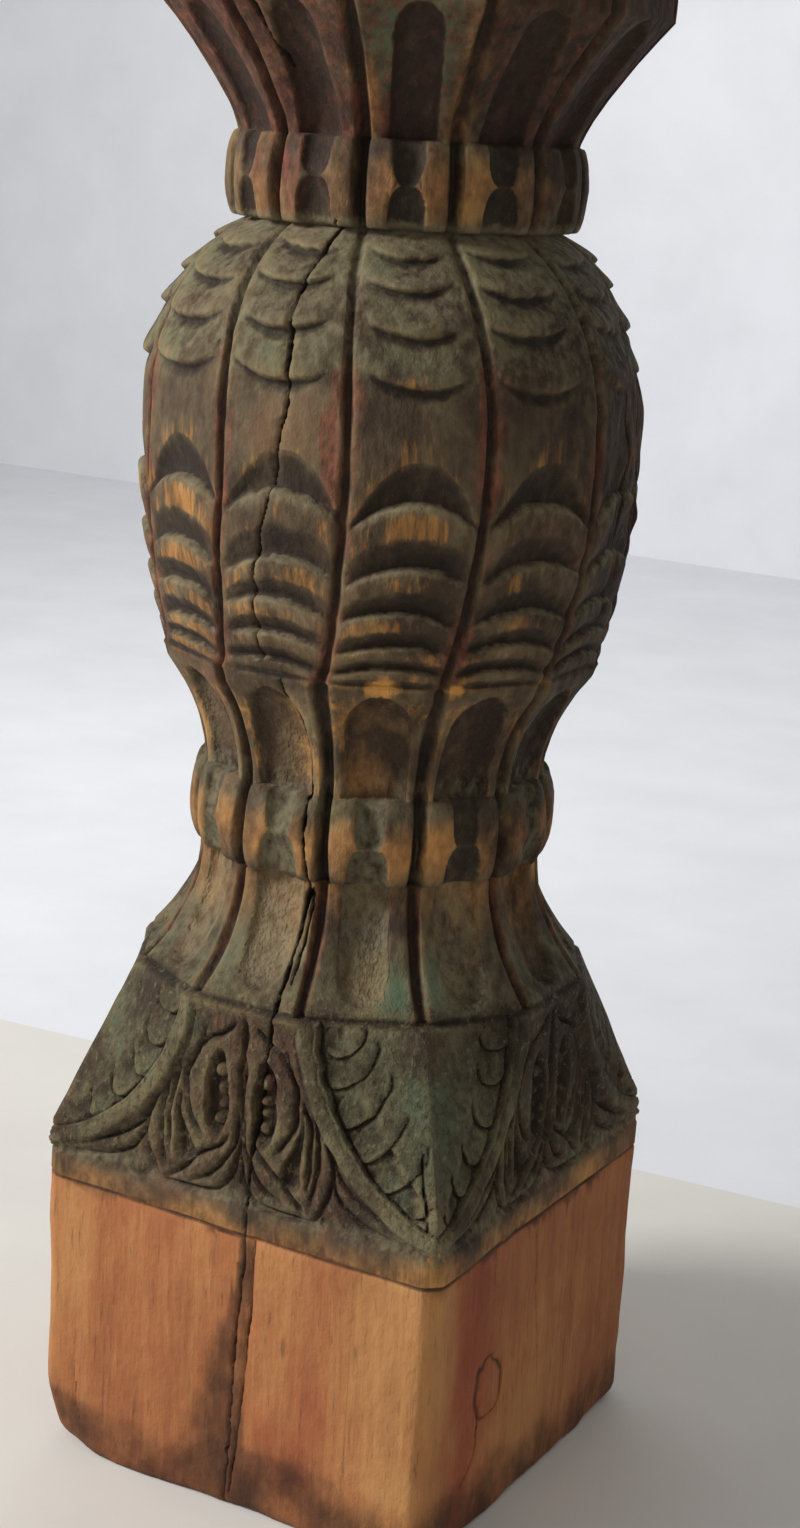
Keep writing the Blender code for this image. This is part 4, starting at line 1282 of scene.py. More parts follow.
def crack_stain():
    """The stain that spread from the crack down the block's front."""
    split = np.radians(STAIN_TURN - STAIN_LEAN * share(LEVEL, 0.18, 0))
    aside = (ANGLE - split) * FOOT_RADIUS
    spread = 0.003 + 0.046 * share(LEVEL, 0.150, 0.060) * (0.8 + 0.4 * SOFT)
    stain = 1 - ease(np.clip(np.where(aside < 0, -aside / spread, aside / 0.012), 0, 1))
    return np.clip(1.6 * stain, 0, 1) * level_fade(STAIN_TOP, STAIN_TOP - 0.015) * (LEVEL < BLOCK_HEIGHT)


def dirt_and_painted_shade_mask():
    """Where old film and dirt lie, and where shade is painted: in the hollows, under the scales and on the
    right side.
    """
    # hollows, grooves, channels, scoops and cuts: darkened by dirt and also by painted shade
    hollows = np.clip(1.35 * LOW - 0.15, 0, 1) * ABOVE_BLOCK
    hollows = hollows * (1 - IN_CHANNEL * np.where(ON_BELL, 0.70, np.where(ON_NECK, 0.45, 0)))
    flare_margin = (0.40 + 0.32 * near_angle(0, 60)) * (1 - 0.85 * FLARE_GREEN)
    flare = np.where(ON_FLARE, np.maximum(IN_CHANNEL, flare_margin), 0)
    neck = np.where(ON_NECK, IN_CHANNEL * (0.10 + 0.90 * near_angle(-18, 40)), 0)
    folds = np.where(INSIDE_RIM < 0, 0.38, 0.10) * (LEVEL < BELL_FOOT) * (LEVEL > BLOCK_HEIGHT)
    scoop = 0.90 * IN_SCOOP * np.clip(np.where(ON_UPPER_RING, 1, 0.25 + near_angle(-20, 60)), 0, 1)
    # painted shade under the hanging scales and in the arches' hollows
    scale = 0.95 * np.maximum(hanging_shade, arch_shade) * (1 - 0.5 * DECAY)
    groove = IN_GROOVE * by_stage({"pot": 0.48, "bell": 0.60, "others": 0.80})
    # painted shade: the right side, away from the key lamp, is darker as a whole
    right = np.where(ON_BELL, 0.45, 0.82) * near_angle(8, 52)
    right = right * level_fade(BLOCK_HEIGHT - 0.006, BLOCK_HEIGHT + 0.044)
    damp_height = 0.014 + 0.022 * SOFT + 0.006 * SOFT_FINE
    damp = 0.66 * level_fade(damp_height + 0.020, damp_height - 0.012)
    cuts = np.maximum(IN_LINE, 0.85 * IN_PALMETTE)
    stain = 0.66 * crack_stain()
    decayed = 0.42 * DECAY
    everything = strongest(hollows, flare, neck, folds, scoop, scale, groove, right, damp, stain,
                           decayed, cuts)
    return everything * (1 - 0.9 * ARRIS_GOLD)


DARK = dirt_and_painted_shade_mask()
print("dark mean", round(float(DARK.mean()), 3))

# %% [markdown]
# ## Dust
#
# Pale dust lies on what faces up: the pot's shoulder under the upper ring, the ledges of the arches, the
# neck just over the lower ring and the ledge over the block. It also fills the bell's channels and the
# lower ring's scoops.

# %% Dust


def grey_dust():
    """Where pale dust lies."""
    corner = level_fade(UPPER_RING_FOOT - 0.016, UPPER_RING_FOOT - 0.002) * (LEVEL < UPPER_RING_FOOT + 0.004)
    pot = np.where(ON_POT, 0.45 * level_fade(BAND_TOP - 0.020, BAND_TOP + 0.060) * (1 - hanging_shade), 0)
    neck = np.where(ON_NECK, 0.40 * level_fade(NECK_FOOT + 0.020, NECK_FOOT), 0)
    ledge = 0.50 * ease(share(np.abs(LEVEL - BLOCK_HEIGHT - 0.002), 0.008, 0.001))
    scoop = np.where(ON_LOWER_RING, 0.50 * IN_SCOOP * (1 - near_angle(-25, 40)), 0)
    bell = np.where(ON_BELL, 0.72 * IN_CHANNEL * (1 - near_angle(0, 40)), 0)
    return strongest(0.85 * corner, pot, neck, ledge, scoop, bell, 0.85 * arch_ledge)


DUST = grey_dust()
print("dust mean", round(float(DUST.mean()), 3))

# %% [markdown]
# ## Colour of the bare wood
#
# The block isn't one colour. It is redder right of the front corner, left of the crack and low on the
# front, and paler along the front corner itself. The two golden spots of the arris use the pale mask as
# well.

# %% Colour of the bare wood
RUDDY = 0.95 * near_angle(-33, 16) + 0.45 * near_angle(-115, 22) * SOFT + 0.5 * near_mark("ruddy_block")
RUDDY = np.clip(RUDDY, 0, 1)
pale_corner = near_angle(-48.5, 12) * level_fade(0.0, 0.12) + 0.6 * near_angle(-50, 16)
PALE = np.clip(np.where(LEVEL < BELL_FOOT, pale_corner, ARRIS_GOLD), 0, 1)
print("ruddy mean", round(float(RUDDY.mean()), 3), "pale mean", round(float(PALE.mean()), 3))

# %% [markdown]
# ## Masks that the mesh carries
#
# The finish is broken up in the material, so the mesh has to carry the masks. Each is stored as an
# attribute with one value for a point. Painting weights by hand would store them in the same way.

# %% Masks that the mesh carries
# Ridges are rubbed pale as wear and also painted lighter as a highlight, less on the right side, away from
# the lamp.
rubbed_and_highlit = np.where(ON_FLARE | ON_RINGS, 0.35, 1) * (1 - 0.7 * near_angle(8, 52))
leaf_foot = level_fade(BLOCK_HEIGHT - 0.004, BLOCK_HEIGHT + 0.012)
MASKS = {
    "green": GREEN,
    "red": RED,
    "teal": TEAL,
    "bare": BARE,
    "amber": AMBER,
    "dark": DARK,
    "dust": DUST,
    "ruddy": RUDDY,
    "pale": PALE,
    "worn_edge_and_highlight": HIGH * ABOVE_BLOCK * rubbed_and_highlit,
    "crack": np.maximum(IN_CRACK, IN_KNOT) * np.where(LEVEL < BLOCK_LINE, 0.70, 1),
    "gouged": np.where(ON_BELL | ON_NECK, IN_CHANNEL, 0),
    "decay": DECAY,
    "leafy": leaf_foot * level_fade(BELL_FOOT + 0.023, BELL_FOOT - 0.001),
    "carved": level_fade(BLOCK_LINE - 0.002, BLOCK_LINE + 0.004),
}
print(len(MASKS), "masks")

# %% [markdown]
# ## From points to a mesh
#
# The grid of points becomes a closed mesh of quads. Rings of points close it below with a flat underside
# and above with a sawn top, which has a trace of the saw's strokes. Arrays are handed to the mesh in one
# go, because adding a million faces one by one would take too long.

# %% Build the skin
END_RINGS = (0.985, 0.95, 0.88, 0.78, 0.66, 0.54, 0.42, 0.30, 0.18, 0.08)
SAW_DEPTH = 0.0005
SAW_WAVES = 900
SAWN_BELOW_TOP = 0.0002


def end_rows(rim, level, toward_top):
    """Rings of points that close one end of the timber, from its rim to its middle."""
    rows = []
    for inward in END_RINGS:
        x = rim * inward * np.cos(angles)
        y = rim * inward * np.sin(angles)
        saw = SAWN_BELOW_TOP + np.abs(SAW_DEPTH * np.sin(y * SAW_WAVES))
        z = np.full(COLUMNS, level) - (saw if toward_top else 0.0)
        rows.append(np.stack([x, y, z], -1))
    return rows


def skin_mesh():
    """A closed mesh through the whole surface, with the masks stored on its points."""
    wall = np.stack([surface * np.cos(ANGLE), surface * np.sin(ANGLE), LEVEL], -1)
    under = end_rows(surface[0], 0.0, False)[::-1]
    over = end_rows(surface[-1], TOP, True)
    rows = np.concatenate([np.array(under), wall, np.array(over)])
    count = rows.shape[0] * COLUMNS
    points = np.concatenate([rows.reshape(-1, 3), [[0, 0, 0], [0, 0, TOP]]])
    index = np.arange(count).reshape(rows.shape[0], COLUMNS)
    beside = np.roll(index, -1, axis=1)
    quads = np.stack([index[:-1], beside[:-1], beside[1:], index[1:]], -1).reshape(-1, 4)
    low_fan = np.stack([beside[0], index[0], np.full(COLUMNS, count)], -1)
    high_fan = np.stack([index[-1], beside[-1], np.full(COLUMNS, count + 1)], -1)
    corners = np.concatenate([quads.ravel(), low_fan.ravel(), high_fan.ravel()]).astype(np.int32)
    sizes = np.concatenate([np.full(len(quads), 4), np.full(2 * COLUMNS, 3)]).astype(np.int32)
    starts = np.concatenate([[0], np.cumsum(sizes)[:-1]]).astype(np.int32)
    mesh = bpy.data.meshes.new("carved_timber")
    mesh.vertices.add(len(points))
    mesh.vertices.foreach_set("co", points.astype(np.float32).ravel())
    mesh.loops.add(len(corners))
    mesh.loops.foreach_set("vertex_index", corners)
    mesh.polygons.add(len(sizes))
    mesh.polygons.foreach_set("loop_start", starts)
    mesh.update(calc_edges=True)
    before, after = len(under) * COLUMNS, len(over) * COLUMNS + 2
    for name, mask in MASKS.items():
        values = np.concatenate([np.zeros(before), mask.ravel(), np.zeros(after)]).astype(np.float32)
        mesh.attributes.new(name, "FLOAT", "POINT").data.foreach_set("value", values)
    return mesh


dense_skin = skin_mesh()
print("dense skin:", len(dense_skin.vertices), "points")

# %% [markdown]
# ## Fewer faces where nothing happens
#
# The dense mesh has over a million triangles, most of them on plain wood. The Decimate modifier merges
# those first and leaves the edges of the carving alone, so the finished piece keeps its detail with far
# fewer faces.

# %% Thin the plain parts
TRIANGLES_WANTED = 192000


def thinned(mesh):
    """The mesh with its plain parts merged, as a new object's mesh."""
    dense = bpy.data.objects.new("dense_timber", mesh)
    bpy.context.scene.collection.objects.link(dense)
    merge = dense.modifiers.new("merge_plain_faces", "DECIMATE")
    merge.ratio = TRIANGLES_WANTED / (2 * len(mesh.polygons))
    merge.use_collapse_triangulate = True
    ready = dense.evaluated_get(bpy.context.evaluated_depsgraph_get())
    light = bpy.data.meshes.new_from_object(ready)
    light.name = "carved_timber"
    bpy.data.objects.remove(dense)
    bpy.data.meshes.remove(mesh)
    return light


def kept_between_ends(mesh):
    """Merging points can lift one a little past the timber's end, so all are put back between the ends."""
    points = np.empty(3 * len(mesh.vertices), np.float32)
    mesh.vertices.foreach_get("co", points)
    points[2::3] = np.clip(points[2::3], 0, TOP)
    mesh.vertices.foreach_set("co", points)
    return mesh


skin = kept_between_ends(thinned(dense_skin))
skin.shade_smooth()
timber = bpy.data.objects.new("carved_timber", skin)
bpy.context.scene.collection.objects.link(timber)
print("carved timber:", len(skin.vertices), "points,", len(skin.polygons), "triangles")

# %% [markdown]
# ## Hand over
#
# Nothing on a pillar moves, so its skin stands on the one body there is. It takes the place of the plain
# solid, whose form it keeps, and its finish is old paint on wood.

# %% Hand over
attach(timber, "root")
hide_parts("pillar")
print("carved timber rides root and replaces pillar")

# %% [markdown]
# ## Colours
#
# Colours are easiest to judge as a screen shows them, from 0 to 255, but a shader works in linear light.
# This helper turns the one into the other, so every colour below can be read off a screen.

# %% Colours


def colour(red, green, blue):
    """A colour as seen on a screen, 0 to 255, turned into the linear one that a shader wants."""
    linear = []
    for part in (red / 255, green / 255, blue / 255):
        linear.append(part / 12.92 if part <= 0.04045 else ((part + 0.055) / 1.055) ** 2.4)
    return tuple(linear) + (1.0,)


print("block colour in linear values:", [round(part, 3) for part in colour(180, 115, 75)])

# %% [markdown]
# ## Materials as graphs of nodes
#
# A material in Blender is a graph: small nodes for noise, colour ramps and sums, joined by links. Drawing
# it by hand in the node editor works well, but a script full of single nodes is hard to read. So a small
# class gives each common step a short name, and every finish below is written as a few sentences in those
# names.

# %% Shader helpers


class Graph:
    """Short ways to add and join the nodes of one material."""

    def __init__(self, name):
        self.material = bpy.data.materials.new(name)
        self.material.use_nodes = True
        self.tree = self.material.node_tree
        self.shader = self.tree.nodes["Principled BSDF"]
        self.place = self.add("ShaderNodeTexCoord").outputs["Object"]

    def add(self, kind):
        return self.tree.nodes.new(kind)

    def join(self, source, target):
        """Link a socket into another one, or set the other one to a plain value."""
        if isinstance(source, bpy.types.NodeSocket):
            self.tree.links.new(source, target)
        else:
            target.default_value = source

    def mask(self, name):
        node = self.add("ShaderNodeAttribute")
        node.attribute_name = name
        return node.outputs["Fac"]

    def noise(self, cells, detail=4.0, rough=0.55, twist=0.0):
        """Cloudy values; cells gives how many there are in a metre along x, y and z."""
        spread = self.add("ShaderNodeMapping")
        self.join(self.place, spread.inputs["Vector"])
        spread.inputs["Scale"].default_value = cells
        node = self.add("ShaderNodeTexNoise")
        self.join(spread.outputs["Vector"], node.inputs["Vector"])
        node.inputs["Scale"].default_value = 1.0
        node.inputs["Detail"].default_value = detail
        node.inputs["Roughness"].default_value = rough
        node.inputs["Distortion"].default_value = twist
        return node.outputs["Fac"]

    def reckon(self, kind, first, second):
        node = self.add("ShaderNodeMath")
        node.operation = kind
        self.join(first, node.inputs[0])
        self.join(second, node.inputs[1])
        return node.outputs[0]

    def times(self, first, second):
        return self.reckon("MULTIPLY", first, second)

    def blend(self, *parts):
        """The sum of several values, each given with its weight."""
        weighed = [self.times(value, weight) for value, weight in parts]
        total = weighed[0]
        for part in weighed[1:]:
            total = self.reckon("ADD", total, part)
        return total

    def fit(self, value, low, high, out_low=0.0, out_high=1.0):
        """Stretch a range of values to another range, and cut off what lies outside."""
        node = self.add("ShaderNodeMapRange")
        self.join(value, node.inputs["Value"])
        limits = {"From Min": low, "From Max": high, "To Min": out_low, "To Max": out_high}
        for socket, number in limits.items():
            node.inputs[socket].default_value = number
        return node.outputs["Result"]

    def ramp(self, value, stops):
        node = self.add("ShaderNodeValToRGB")
        self.join(value, node.inputs["Fac"])
        band = node.color_ramp.elements
        while len(band) < len(stops):
            band.new(0.5)
        for element, (position, tint) in zip(band, stops):
            element.position = position
            element.color = tint
        return node.outputs["Color"]

    def mix(self, amount, under, over, kind="MIX"):
        node = self.add("ShaderNodeMix")
        node.data_type = "RGBA"
        node.blend_type = kind
        self.join(amount, node.inputs["Factor"])
        self.join(under, node.inputs[6])
        self.join(over, node.inputs[7])
        return node.outputs[2]

    def broken(self, mask, noise, soft=0.16):
        """A mask whose soft border is broken up by a noise: 0 and 1 stay as they are."""
        lifted = self.reckon("ADD", mask, self.fit(noise, 0.30, 0.70, -0.5, 0.5))
        return self.times(self.fit(lifted, 0.5 - soft, 0.5 + soft), self.fit(mask, 0.0, 0.25))

    def bump(self, height, distance, below=None):
        node = self.add("ShaderNodeBump")
        node.inputs["Distance"].default_value = distance
        node.inputs["Strength"].default_value = 1.0
        self.join(height, node.inputs["Height"])
        if below is not None:
            self.join(below, node.inputs["Normal"])
        return node.outputs["Normal"]


print("helpers:", ", ".join(name for name in vars(Graph) if not name.startswith("_")))

# %% [markdown]
# ## Noises and tints of the timber
#
# The same few noises break up every finish: long thin ones for grain, even ones for flakes and clouds.
# Their cells are counted in a metre, twice across the timber and then up it. The tints were set against the
# real timber, and each ramp runs from its dark stop to its pale one.

# %% Noises and tints
NOISES = {
    "grain": ((420, 420, 16), 5.0, 0.60, 0.3),
    "wide_grain": ((60, 60, 6), 4.0, 0.55, 0.8),
    "blotches": ((11, 11, 9), 6.0, 0.60, 0.4),
    "streaks": ((260, 260, 34), 5.0, 0.6),
    "checks": ((420, 420, 7), 2.0, 0.5, 0.2),
    "flakes": ((170, 170, 110), 6.0, 0.62),
    "clouds": ((26, 26, 20), 5.0, 0.55),
    "broad": ((13, 13, 9), 4.0, 0.60, 0.5),
    "fine_dirt_and_shade": ((110, 110, 60), 5.0, 0.6),
    "specks": ((900, 900, 700), 3.0, 0.6),
    "pits": ((250, 250, 190), 5.0, 0.66, 0.2),
    "dimples": ((420, 420, 260), 2.0, 0.5),
    "rot": ((210, 210, 90), 4.0, 0.65),
}
RAMPS = {
    "block_wood": ((0.38, (142, 84, 50)), (0.50, (164, 104, 62)), (0.62, (180, 126, 76))),
    "ruddy_wood": ((0.38, (128, 62, 40)), (0.62, (158, 86, 54))),
    "pale_wood": ((0.38, (168, 118, 70)), (0.62, (192, 144, 88))),
    "old_wood": ((0.36, (90, 63, 38)), (0.50, (140, 98, 52)), (0.62, (178, 126, 66))),
    "film": ((0.38, (62, 48, 34)), (0.50, (84, 69, 49)), (0.62, (104, 91, 66))),
    "green": ((0.38, (50, 46, 33)), (0.47, (76, 73, 52)), (0.56, (97, 94, 68)), (0.66, (76, 94, 72))),
    "amber": ((0.36, (104, 72, 42)), (0.50, (150, 104, 58)), (0.64, (184, 132, 72))),
    "red": ((0.34, (76, 42, 32)), (0.62, (122, 66, 46))),
}
GOLD_WOOD = colour(206, 146, 74)
DARK_FILM = colour(56, 41, 30)
RUSTY_FILM = colour(112, 80, 56)
BLUE_GREEN = colour(82, 98, 74)
# Dirt and painted shade: the first multiplies the colour, the second covers a part of it.
DIRT_AND_PAINTED_SHADE_FILTER = colour(116, 96, 82)
DIRT_AND_PAINTED_SHADE = colour(50, 40, 31)
RUBBED_EDGE_AND_HIGHLIGHT = colour(146, 124, 86)
PIT_DARK = colour(52, 42, 31)
PIT_PALE = colour(134, 124, 88)
PALE_DUST = colour(130, 120, 92)
CHECK_DARK = colour(66, 46, 34)
PALE_SPECK = colour(150, 134, 104)
CRACK_DARK = colour(30, 21, 15)


class TimberGraph(Graph):
    """The timber's graph, with its noises ready under their names."""

    def __init__(self, name):
        super().__init__(name)
        self.noises = {key: self.noise(*values) for key, values in NOISES.items()}

    def tint(self, name, value):
        return self.ramp(value, [(position, colour(*parts)) for position, parts in RAMPS[name]])


paint_graph = TimberGraph("worn_paint_and_painted_shade_on_wood")
print(len(NOISES), "noises,", len(RAMPS), "ramps,", len(paint_graph.tree.nodes), "nodes")

# %% [markdown]
# ## Wood
#
# The block was bare from the start and is orange-brown, with broad blotches along a fine grain. The wood of
# the carving shows only where paint has gone. It is older, greyer in its streaks, and golden on the two
# spots of the arris. Two ramps over the same grain are mixed by the masks, so no border shows where they
# meet.

# %% Wood


def wood_tint(g):
    """The colour of bare wood, on the block and in the carving."""
    n = g.noises
    grain = g.blend((n["grain"], 0.22), (n["wide_grain"], 0.30), (n["blotches"], 0.48))
    wood = g.tint("block_wood", grain)
    wood = g.mix(g.broken(g.mask("ruddy"), n["clouds"], 0.50), wood, g.tint("ruddy_wood", grain))
    paler = g.times(g.broken(g.mask("pale"), n["clouds"], 0.50), 0.70)
    wood = g.mix(paler, wood, g.tint("pale_wood", grain))
    old_wood = g.tint("old_wood", g.blend((n["streaks"], 0.45), (n["clouds"], 0.55)))
    gold = g.times(g.mask("pale"), g.mask("carved"))
    old_wood = g.mix(g.times(gold, g.mask("bare")), old_wood, GOLD_WOOD)
    return g.mix(g.mask("carved"), wood, old_wood)


WOOD = wood_tint(paint_graph)
print("nodes with the wood:", len(paint_graph.tree.nodes))

# %% [markdown]
# ## Old paint
#
# The carving was painted in layers, and each is broken through where its mask is thin. A dull brown film
# lies under all, darker and rustier in broad clouds. Then come green, red-brown and the golden wood of
# rubbed places. Painting an image by hand could show the same, but these layers stay sharp at any distance.

# %% Paint


def paint_tint(g):
    """The colour of what covers the wood: film, green and red paint, and rubbed golden wood."""
    n = g.noises
    film = g.tint("film", g.blend((n["flakes"], 0.28), (n["clouds"], 0.72)))
    film = g.mix(g.fit(n["broad"], 0.53, 0.64, 0.0, 0.75), film, DARK_FILM)
    film = g.mix(g.fit(n["broad"], 0.46, 0.34, 0.0, 0.60), film, RUSTY_FILM)
    flaking = g.blend((n["flakes"], 0.45), (n["clouds"], 0.55))
    green = g.mix(g.broken(g.mask("teal"), n["clouds"], 0.45), g.tint("green", flaking), BLUE_GREEN)
    painted = g.mix(g.broken(g.mask("green"), n["clouds"], 0.40), film, green)
    reddened = g.times(g.broken(g.mask("red"), n["streaks"], 0.30), 0.90)
    painted = g.mix(reddened, painted, g.tint("red", n["flakes"]))
    return g.mix(g.broken(g.mask("amber"), n["clouds"], 0.55), painted, g.tint("amber", flaking))


PAINT = paint_tint(paint_graph)
print("nodes with the paint:", len(paint_graph.tree.nodes))

# %% [markdown]
# ## Dirt, wear and painted shade
#
# Dirt and painted shade come last: they darken the hollows, the undercuts of the scales and the right side.
# Edges are rubbed pale, partly as wear and partly as a painted highlight. The leaves are pitted, with painted
# shade in the pits and a painted highlight on their peaks, dust lies on the ledges, and the cracks are
# painted near black as the shade in them. The dirt and shade first multiply the colour below, so paint still
# shows through them, and then cover a part of it.

# %% Dirt, wear and painted shade


def dirtied_and_shaded(g, tint):
    """The colour with dirt and painted shade, rubbed edges with a painted highlight, pits, dust, fine checks
    and cracks painted dark as shade over it.
    """
    n = g.noises
    plain_share = g.fit(g.mask("carved"), 0.0, 1.0, 1.0, 0.0)
    breaking = g.blend((n["fine_dirt_and_shade"], g.mask("carved")), (n["clouds"], plain_share))
    # the dark mask holds dirt and stains and also painted shade
    dirt_and_shade = g.broken(g.mask("dark"), breaking, 0.50)
    tint = g.mix(g.times(dirt_and_shade, 0.90), tint, DIRT_AND_PAINTED_SHADE_FILTER, "MULTIPLY")
    tint = g.mix(g.times(dirt_and_shade, 0.42), tint, DIRT_AND_PAINTED_SHADE)
    # painted highlight with wear: ridges are lightened
    rubbed_and_highlit = g.times(g.mask("worn_edge_and_highlight"), g.fit(n["clouds"], 0.42, 0.60, 0.06, 0.46))
    tint = g.mix(rubbed_and_highlit, tint, RUBBED_EDGE_AND_HIGHLIGHT)
    # leaf pits: dark where the pits' bump is low, pale where it is high; mottling with painted shade and
    # highlight
    tint = g.mix(g.times(g.fit(n["pits"], 0.46, 0.36, 0.0, 0.60), g.mask("leafy")), tint, PIT_DARK)
    tint = g.mix(g.times(g.fit(n["pits"], 0.56, 0.68, 0.0, 0.55), g.mask("leafy")), tint, PIT_PALE)
    tint = g.mix(g.times(g.broken(g.mask("dust"), n["flakes"], 0.40), 0.55), tint, PALE_DUST)
    tint = g.mix(g.times(g.fit(n["checks"], 0.33, 0.27), 0.28), tint, CHECK_DARK)
    tint = g.mix(g.fit(n["specks"], 0.68, 0.74, 0.0, 0.4), tint, PALE_SPECK)
    # cracks and the knot's ring are painted near black: dirt and painted shade in their gaps
    return g.mix(g.fit(g.mask("crack"), 0.30, 0.75, 0.0, 0.92), tint, CRACK_DARK)


bare_shown = paint_graph.broken(paint_graph.mask("bare"), paint_graph.noises["streaks"], 0.30)
TIMBER_TINT = dirtied_and_shaded(paint_graph, paint_graph.mix(bare_shown, PAINT, WOOD))
print("nodes with dirt and wear:", len(paint_graph.tree.nodes))

# %% [markdown]
# ## Relief too fine for the mesh
#
# Grain, flakes, the gouge's dimples in the channels, the leaves' pits and the rot on the pot's right side
# are all finer than the mesh's points. Bump nodes tilt the light for them, one over the other, each by its
# true height.

# %% Fine relief
GRAIN_HEIGHT = 0.0005
FLAKE_HEIGHT = 0.0014
DIMPLE_HEIGHT = 0.0020
PIT_HEIGHT = 0.0036
ROT_HEIGHT = 0.0050


def fine_relief(g):
    """The tilt of the surface by all the fine relief."""
    n = g.noises
    on_carving = g.fit(g.mask("carved"), 0.0, 1.0, 0.30, 0.65)
    normal = g.bump(g.times(n["grain"], on_carving), GRAIN_HEIGHT)
    normal = g.bump(n["flakes"], FLAKE_HEIGHT, normal)
    normal = g.bump(g.times(n["dimples"], g.mask("gouged")), DIMPLE_HEIGHT, normal)
    normal = g.bump(g.times(n["pits"], g.mask("leafy")), PIT_HEIGHT, normal)
    return g.bump(g.times(n["rot"], g.mask("decay")), ROT_HEIGHT, normal)


FINE_RELIEF = fine_relief(paint_graph)
print("nodes with the fine relief:", len(paint_graph.tree.nodes))

# %% [markdown]
# ## The timber's material
#
# The parts are joined to the shader. Old wood and paint are dull, so the roughness stays high and only the
# flakes vary it a little, and nothing in it is metal.

# %% Timber material


def finish_timber(g):
    """Join the colour, the roughness and the fine relief to the shader."""
    g.join(TIMBER_TINT, g.shader.inputs["Base Color"])
    g.join(g.fit(g.noises["flakes"], 0.3, 0.7, 0.92, 0.70), g.shader.inputs["Roughness"])
    g.shader.inputs["Metallic"].default_value = 0.0
    g.shader.inputs["Specular IOR Level"].default_value = 0.35
    g.join(FINE_RELIEF, g.shader.inputs["Normal"])
    return g.material


timber.data.materials.append(finish_timber(paint_graph))
print("nodes in the timber's material:", len(paint_graph.tree.nodes))

# %% [markdown]
# ## End grain
#
# The timber was cut square at the top, so its rings show there. They're drawn as circles round a heart that
# lies a little off the middle, with darker blotches over them and the saw's marks.

# %% End grain
HEART = (0.018, -0.012, 0.0)
RING_SCALE = 42.0
END_TINTS = [(0.1, colour(122, 84, 54)), (0.6, colour(168, 124, 84)), (1.0, colour(186, 144, 102))]


def end_grain_material():
    """Sawn end grain: rings, darker blotches and the saw's marks."""
    g = Graph("sawn_end_grain")
    shift = g.add("ShaderNodeMapping")
    g.join(g.place, shift.inputs["Vector"])
    shift.inputs["Location"].default_value = HEART
    rings = g.add("ShaderNodeTexWave")
    rings.wave_type = "RINGS"
    rings.rings_direction = "Z"
    g.join(shift.outputs["Vector"], rings.inputs["Vector"])
    rings.inputs["Scale"].default_value = RING_SCALE
    rings.inputs["Distortion"].default_value = 3.0
    rings.inputs["Detail"].default_value = 3.0
    rings.inputs["Detail Scale"].default_value = 0.6
    tint = g.ramp(rings.outputs["Fac"], END_TINTS)
    tint = g.mix(g.fit(g.noise((22, 22, 22), 5.0), 0.45, 0.65, 0.0, 0.6), tint, colour(104, 84, 64))
    g.join(tint, g.shader.inputs["Base Color"])
    g.shader.inputs["Roughness"].default_value = 0.9
    g.shader.inputs["Metallic"].default_value = 0.0
    saw = g.bump(g.noise((900, 60, 60), 3.0), 0.0006)
    g.join(g.bump(rings.outputs["Fac"], 0.0004, saw), g.shader.inputs["Normal"])
    return g.material


timber.data.materials.append(end_grain_material())
for face in timber.data.polygons:
    if face.center.z > TOP - 0.0012 and face.normal.z > 0.8:
        face.material_index = 1
        face.use_smooth = False
print("faces of end grain:", sum(face.material_index for face in timber.data.polygons))

# %% [markdown]
# ## Floor and backdrop
#
# A plain pale floor meets a paler ground a little behind the pillar, where a wall's foot would be. A wall
# so near would hide the pillar from behind, so the real backdrop stands far off. All are plain planes,
# since they only catch the light and the shadow.

# %% Floor and backdrop


def add_plane(name, corners, tint):
    """One staged plane with a plain finish and a faint unevenness."""
    mesh = bpy.data.meshes.new(name)
    mesh.from_pydata(corners, [], [(0, 1, 2, 3)])
    g = Graph(name + "_finish")
    shade = [part * 0.94 for part in tint[:3]] + [1.0]
    g.join(g.ramp(g.noise((5, 5, 5), 4.0), [(0.35, shade), (0.65, tint)]), g.shader.inputs["Base Color"])
    g.shader.inputs["Roughness"].default_value = 0.7
    mesh.materials.append(g.material)
    thing = bpy.data.objects.new(name, mesh)
    bpy.context.scene.collection.objects.link(thing)


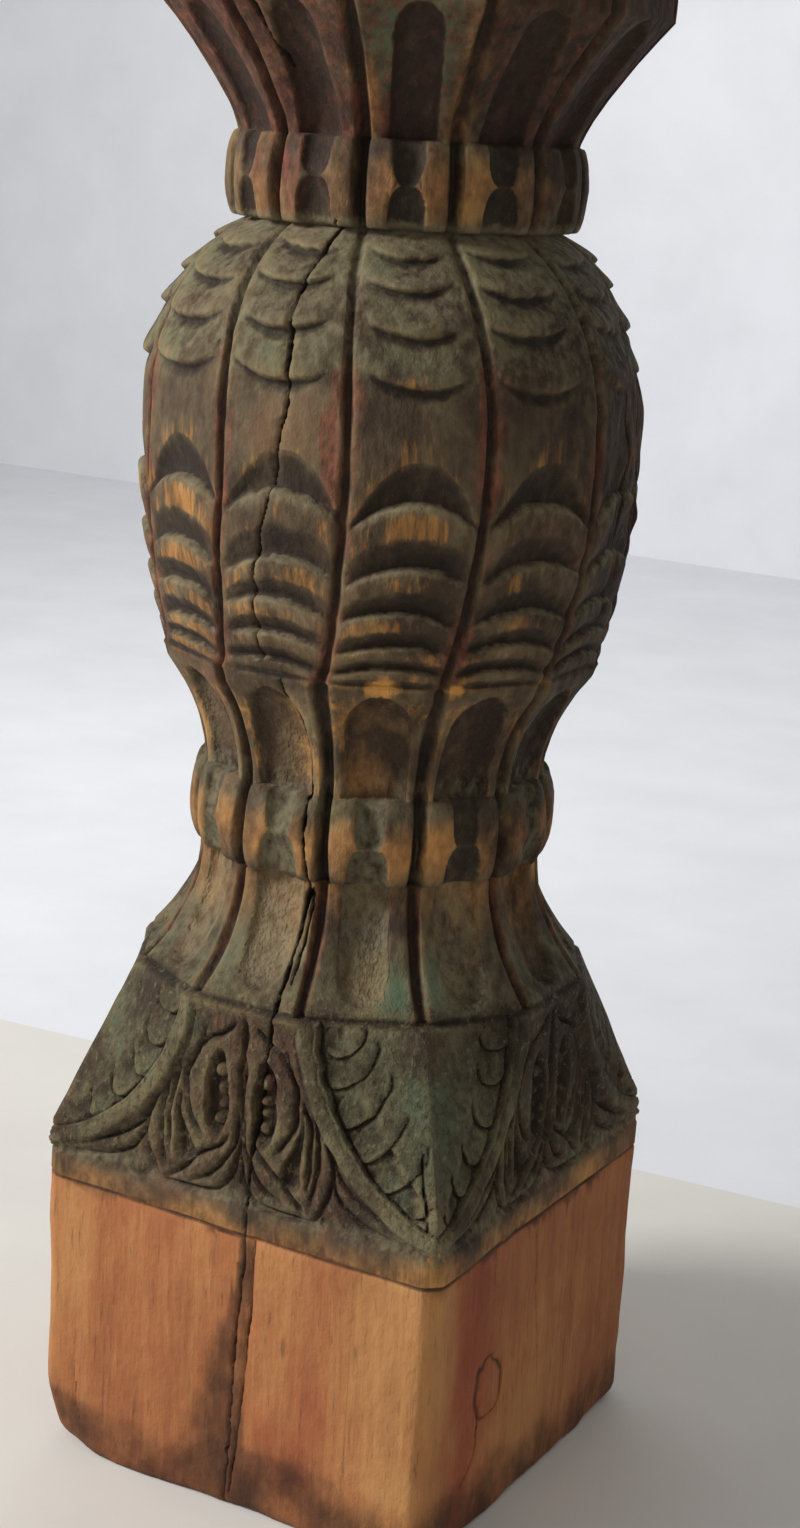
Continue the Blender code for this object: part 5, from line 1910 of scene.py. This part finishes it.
EDGE = 0.50
EDGE_SLANT = 0.30
FAR = 3.4
REACH = 4
FLOOR_TINT = colour(226, 223, 216)
WALL_TINT = colour(234, 236, 240)
near_edge = [(REACH, EDGE + EDGE_SLANT, 0), (-REACH, EDGE - EDGE_SLANT, 0)]
far_edge = [(REACH, FAR, 0), (-REACH, FAR, 0)]
add_plane("floor", [(-REACH, -REACH, 0), (REACH, -REACH, 0)] + near_edge, FLOOR_TINT)
add_plane("far_floor", near_edge[::-1] + far_edge, WALL_TINT)
add_plane("backdrop", far_edge[::-1] + [(REACH, FAR, REACH), (-REACH, FAR, REACH)], WALL_TINT)
print("floor meets the far ground at", EDGE, "m behind the axis; backdrop at", FAR, "m")

# %% [markdown]
# ## Light
#
# A large soft lamp stands to the left and in front, as daylight from a window would fall. A very weak one
# from the right and a dim surround keep the far side readable, so the carving keeps its deep shadows. A
# third lamp stands behind the pillar and lights only the ground and the backdrop there, which would else
# look grey.

# %% Light
SURROUND_TINT = (1.0, 0.98, 0.96, 1)
SURROUND_STRENGTH = 0.32
# Each lamp: where it stands, where it looks, the side of its square, and its power in watts.
LAMPS = {
    "key": ((-1.8, -1.7, 1.9), (0, 0, 0.5), 0.8, 84),
    "fill": ((1.6, -2.2, 1.0), (0, 0, 0.3), 1.4, 3),
    "behind": ((-0.9, 1.0, 2.2), (-1.9, 3.4, 0.4), 1.2, 27),
}
world = bpy.data.worlds.new("studio")
world.use_nodes = True
world.node_tree.nodes["Background"].inputs["Color"].default_value = SURROUND_TINT
world.node_tree.nodes["Background"].inputs["Strength"].default_value = SURROUND_STRENGTH
bpy.context.scene.world = world
bpy.context.scene.view_settings.view_transform = "Standard"


def add_light(name, place, aim, size, power):
    """A soft square light that looks at a point."""
    lamp = bpy.data.lights.new(name, "AREA")
    lamp.size = size
    lamp.energy = power
    thing = bpy.data.objects.new(name, lamp)
    thing.location = place
    thing.rotation_euler = (Vector(aim) - Vector(place)).to_track_quat("-Z", "Y").to_euler()
    bpy.context.scene.collection.objects.link(thing)


for name, values in LAMPS.items():
    add_light(name, *values)
print("lamps:", ", ".join(LAMPS))

# %% [markdown]
# ## Finish
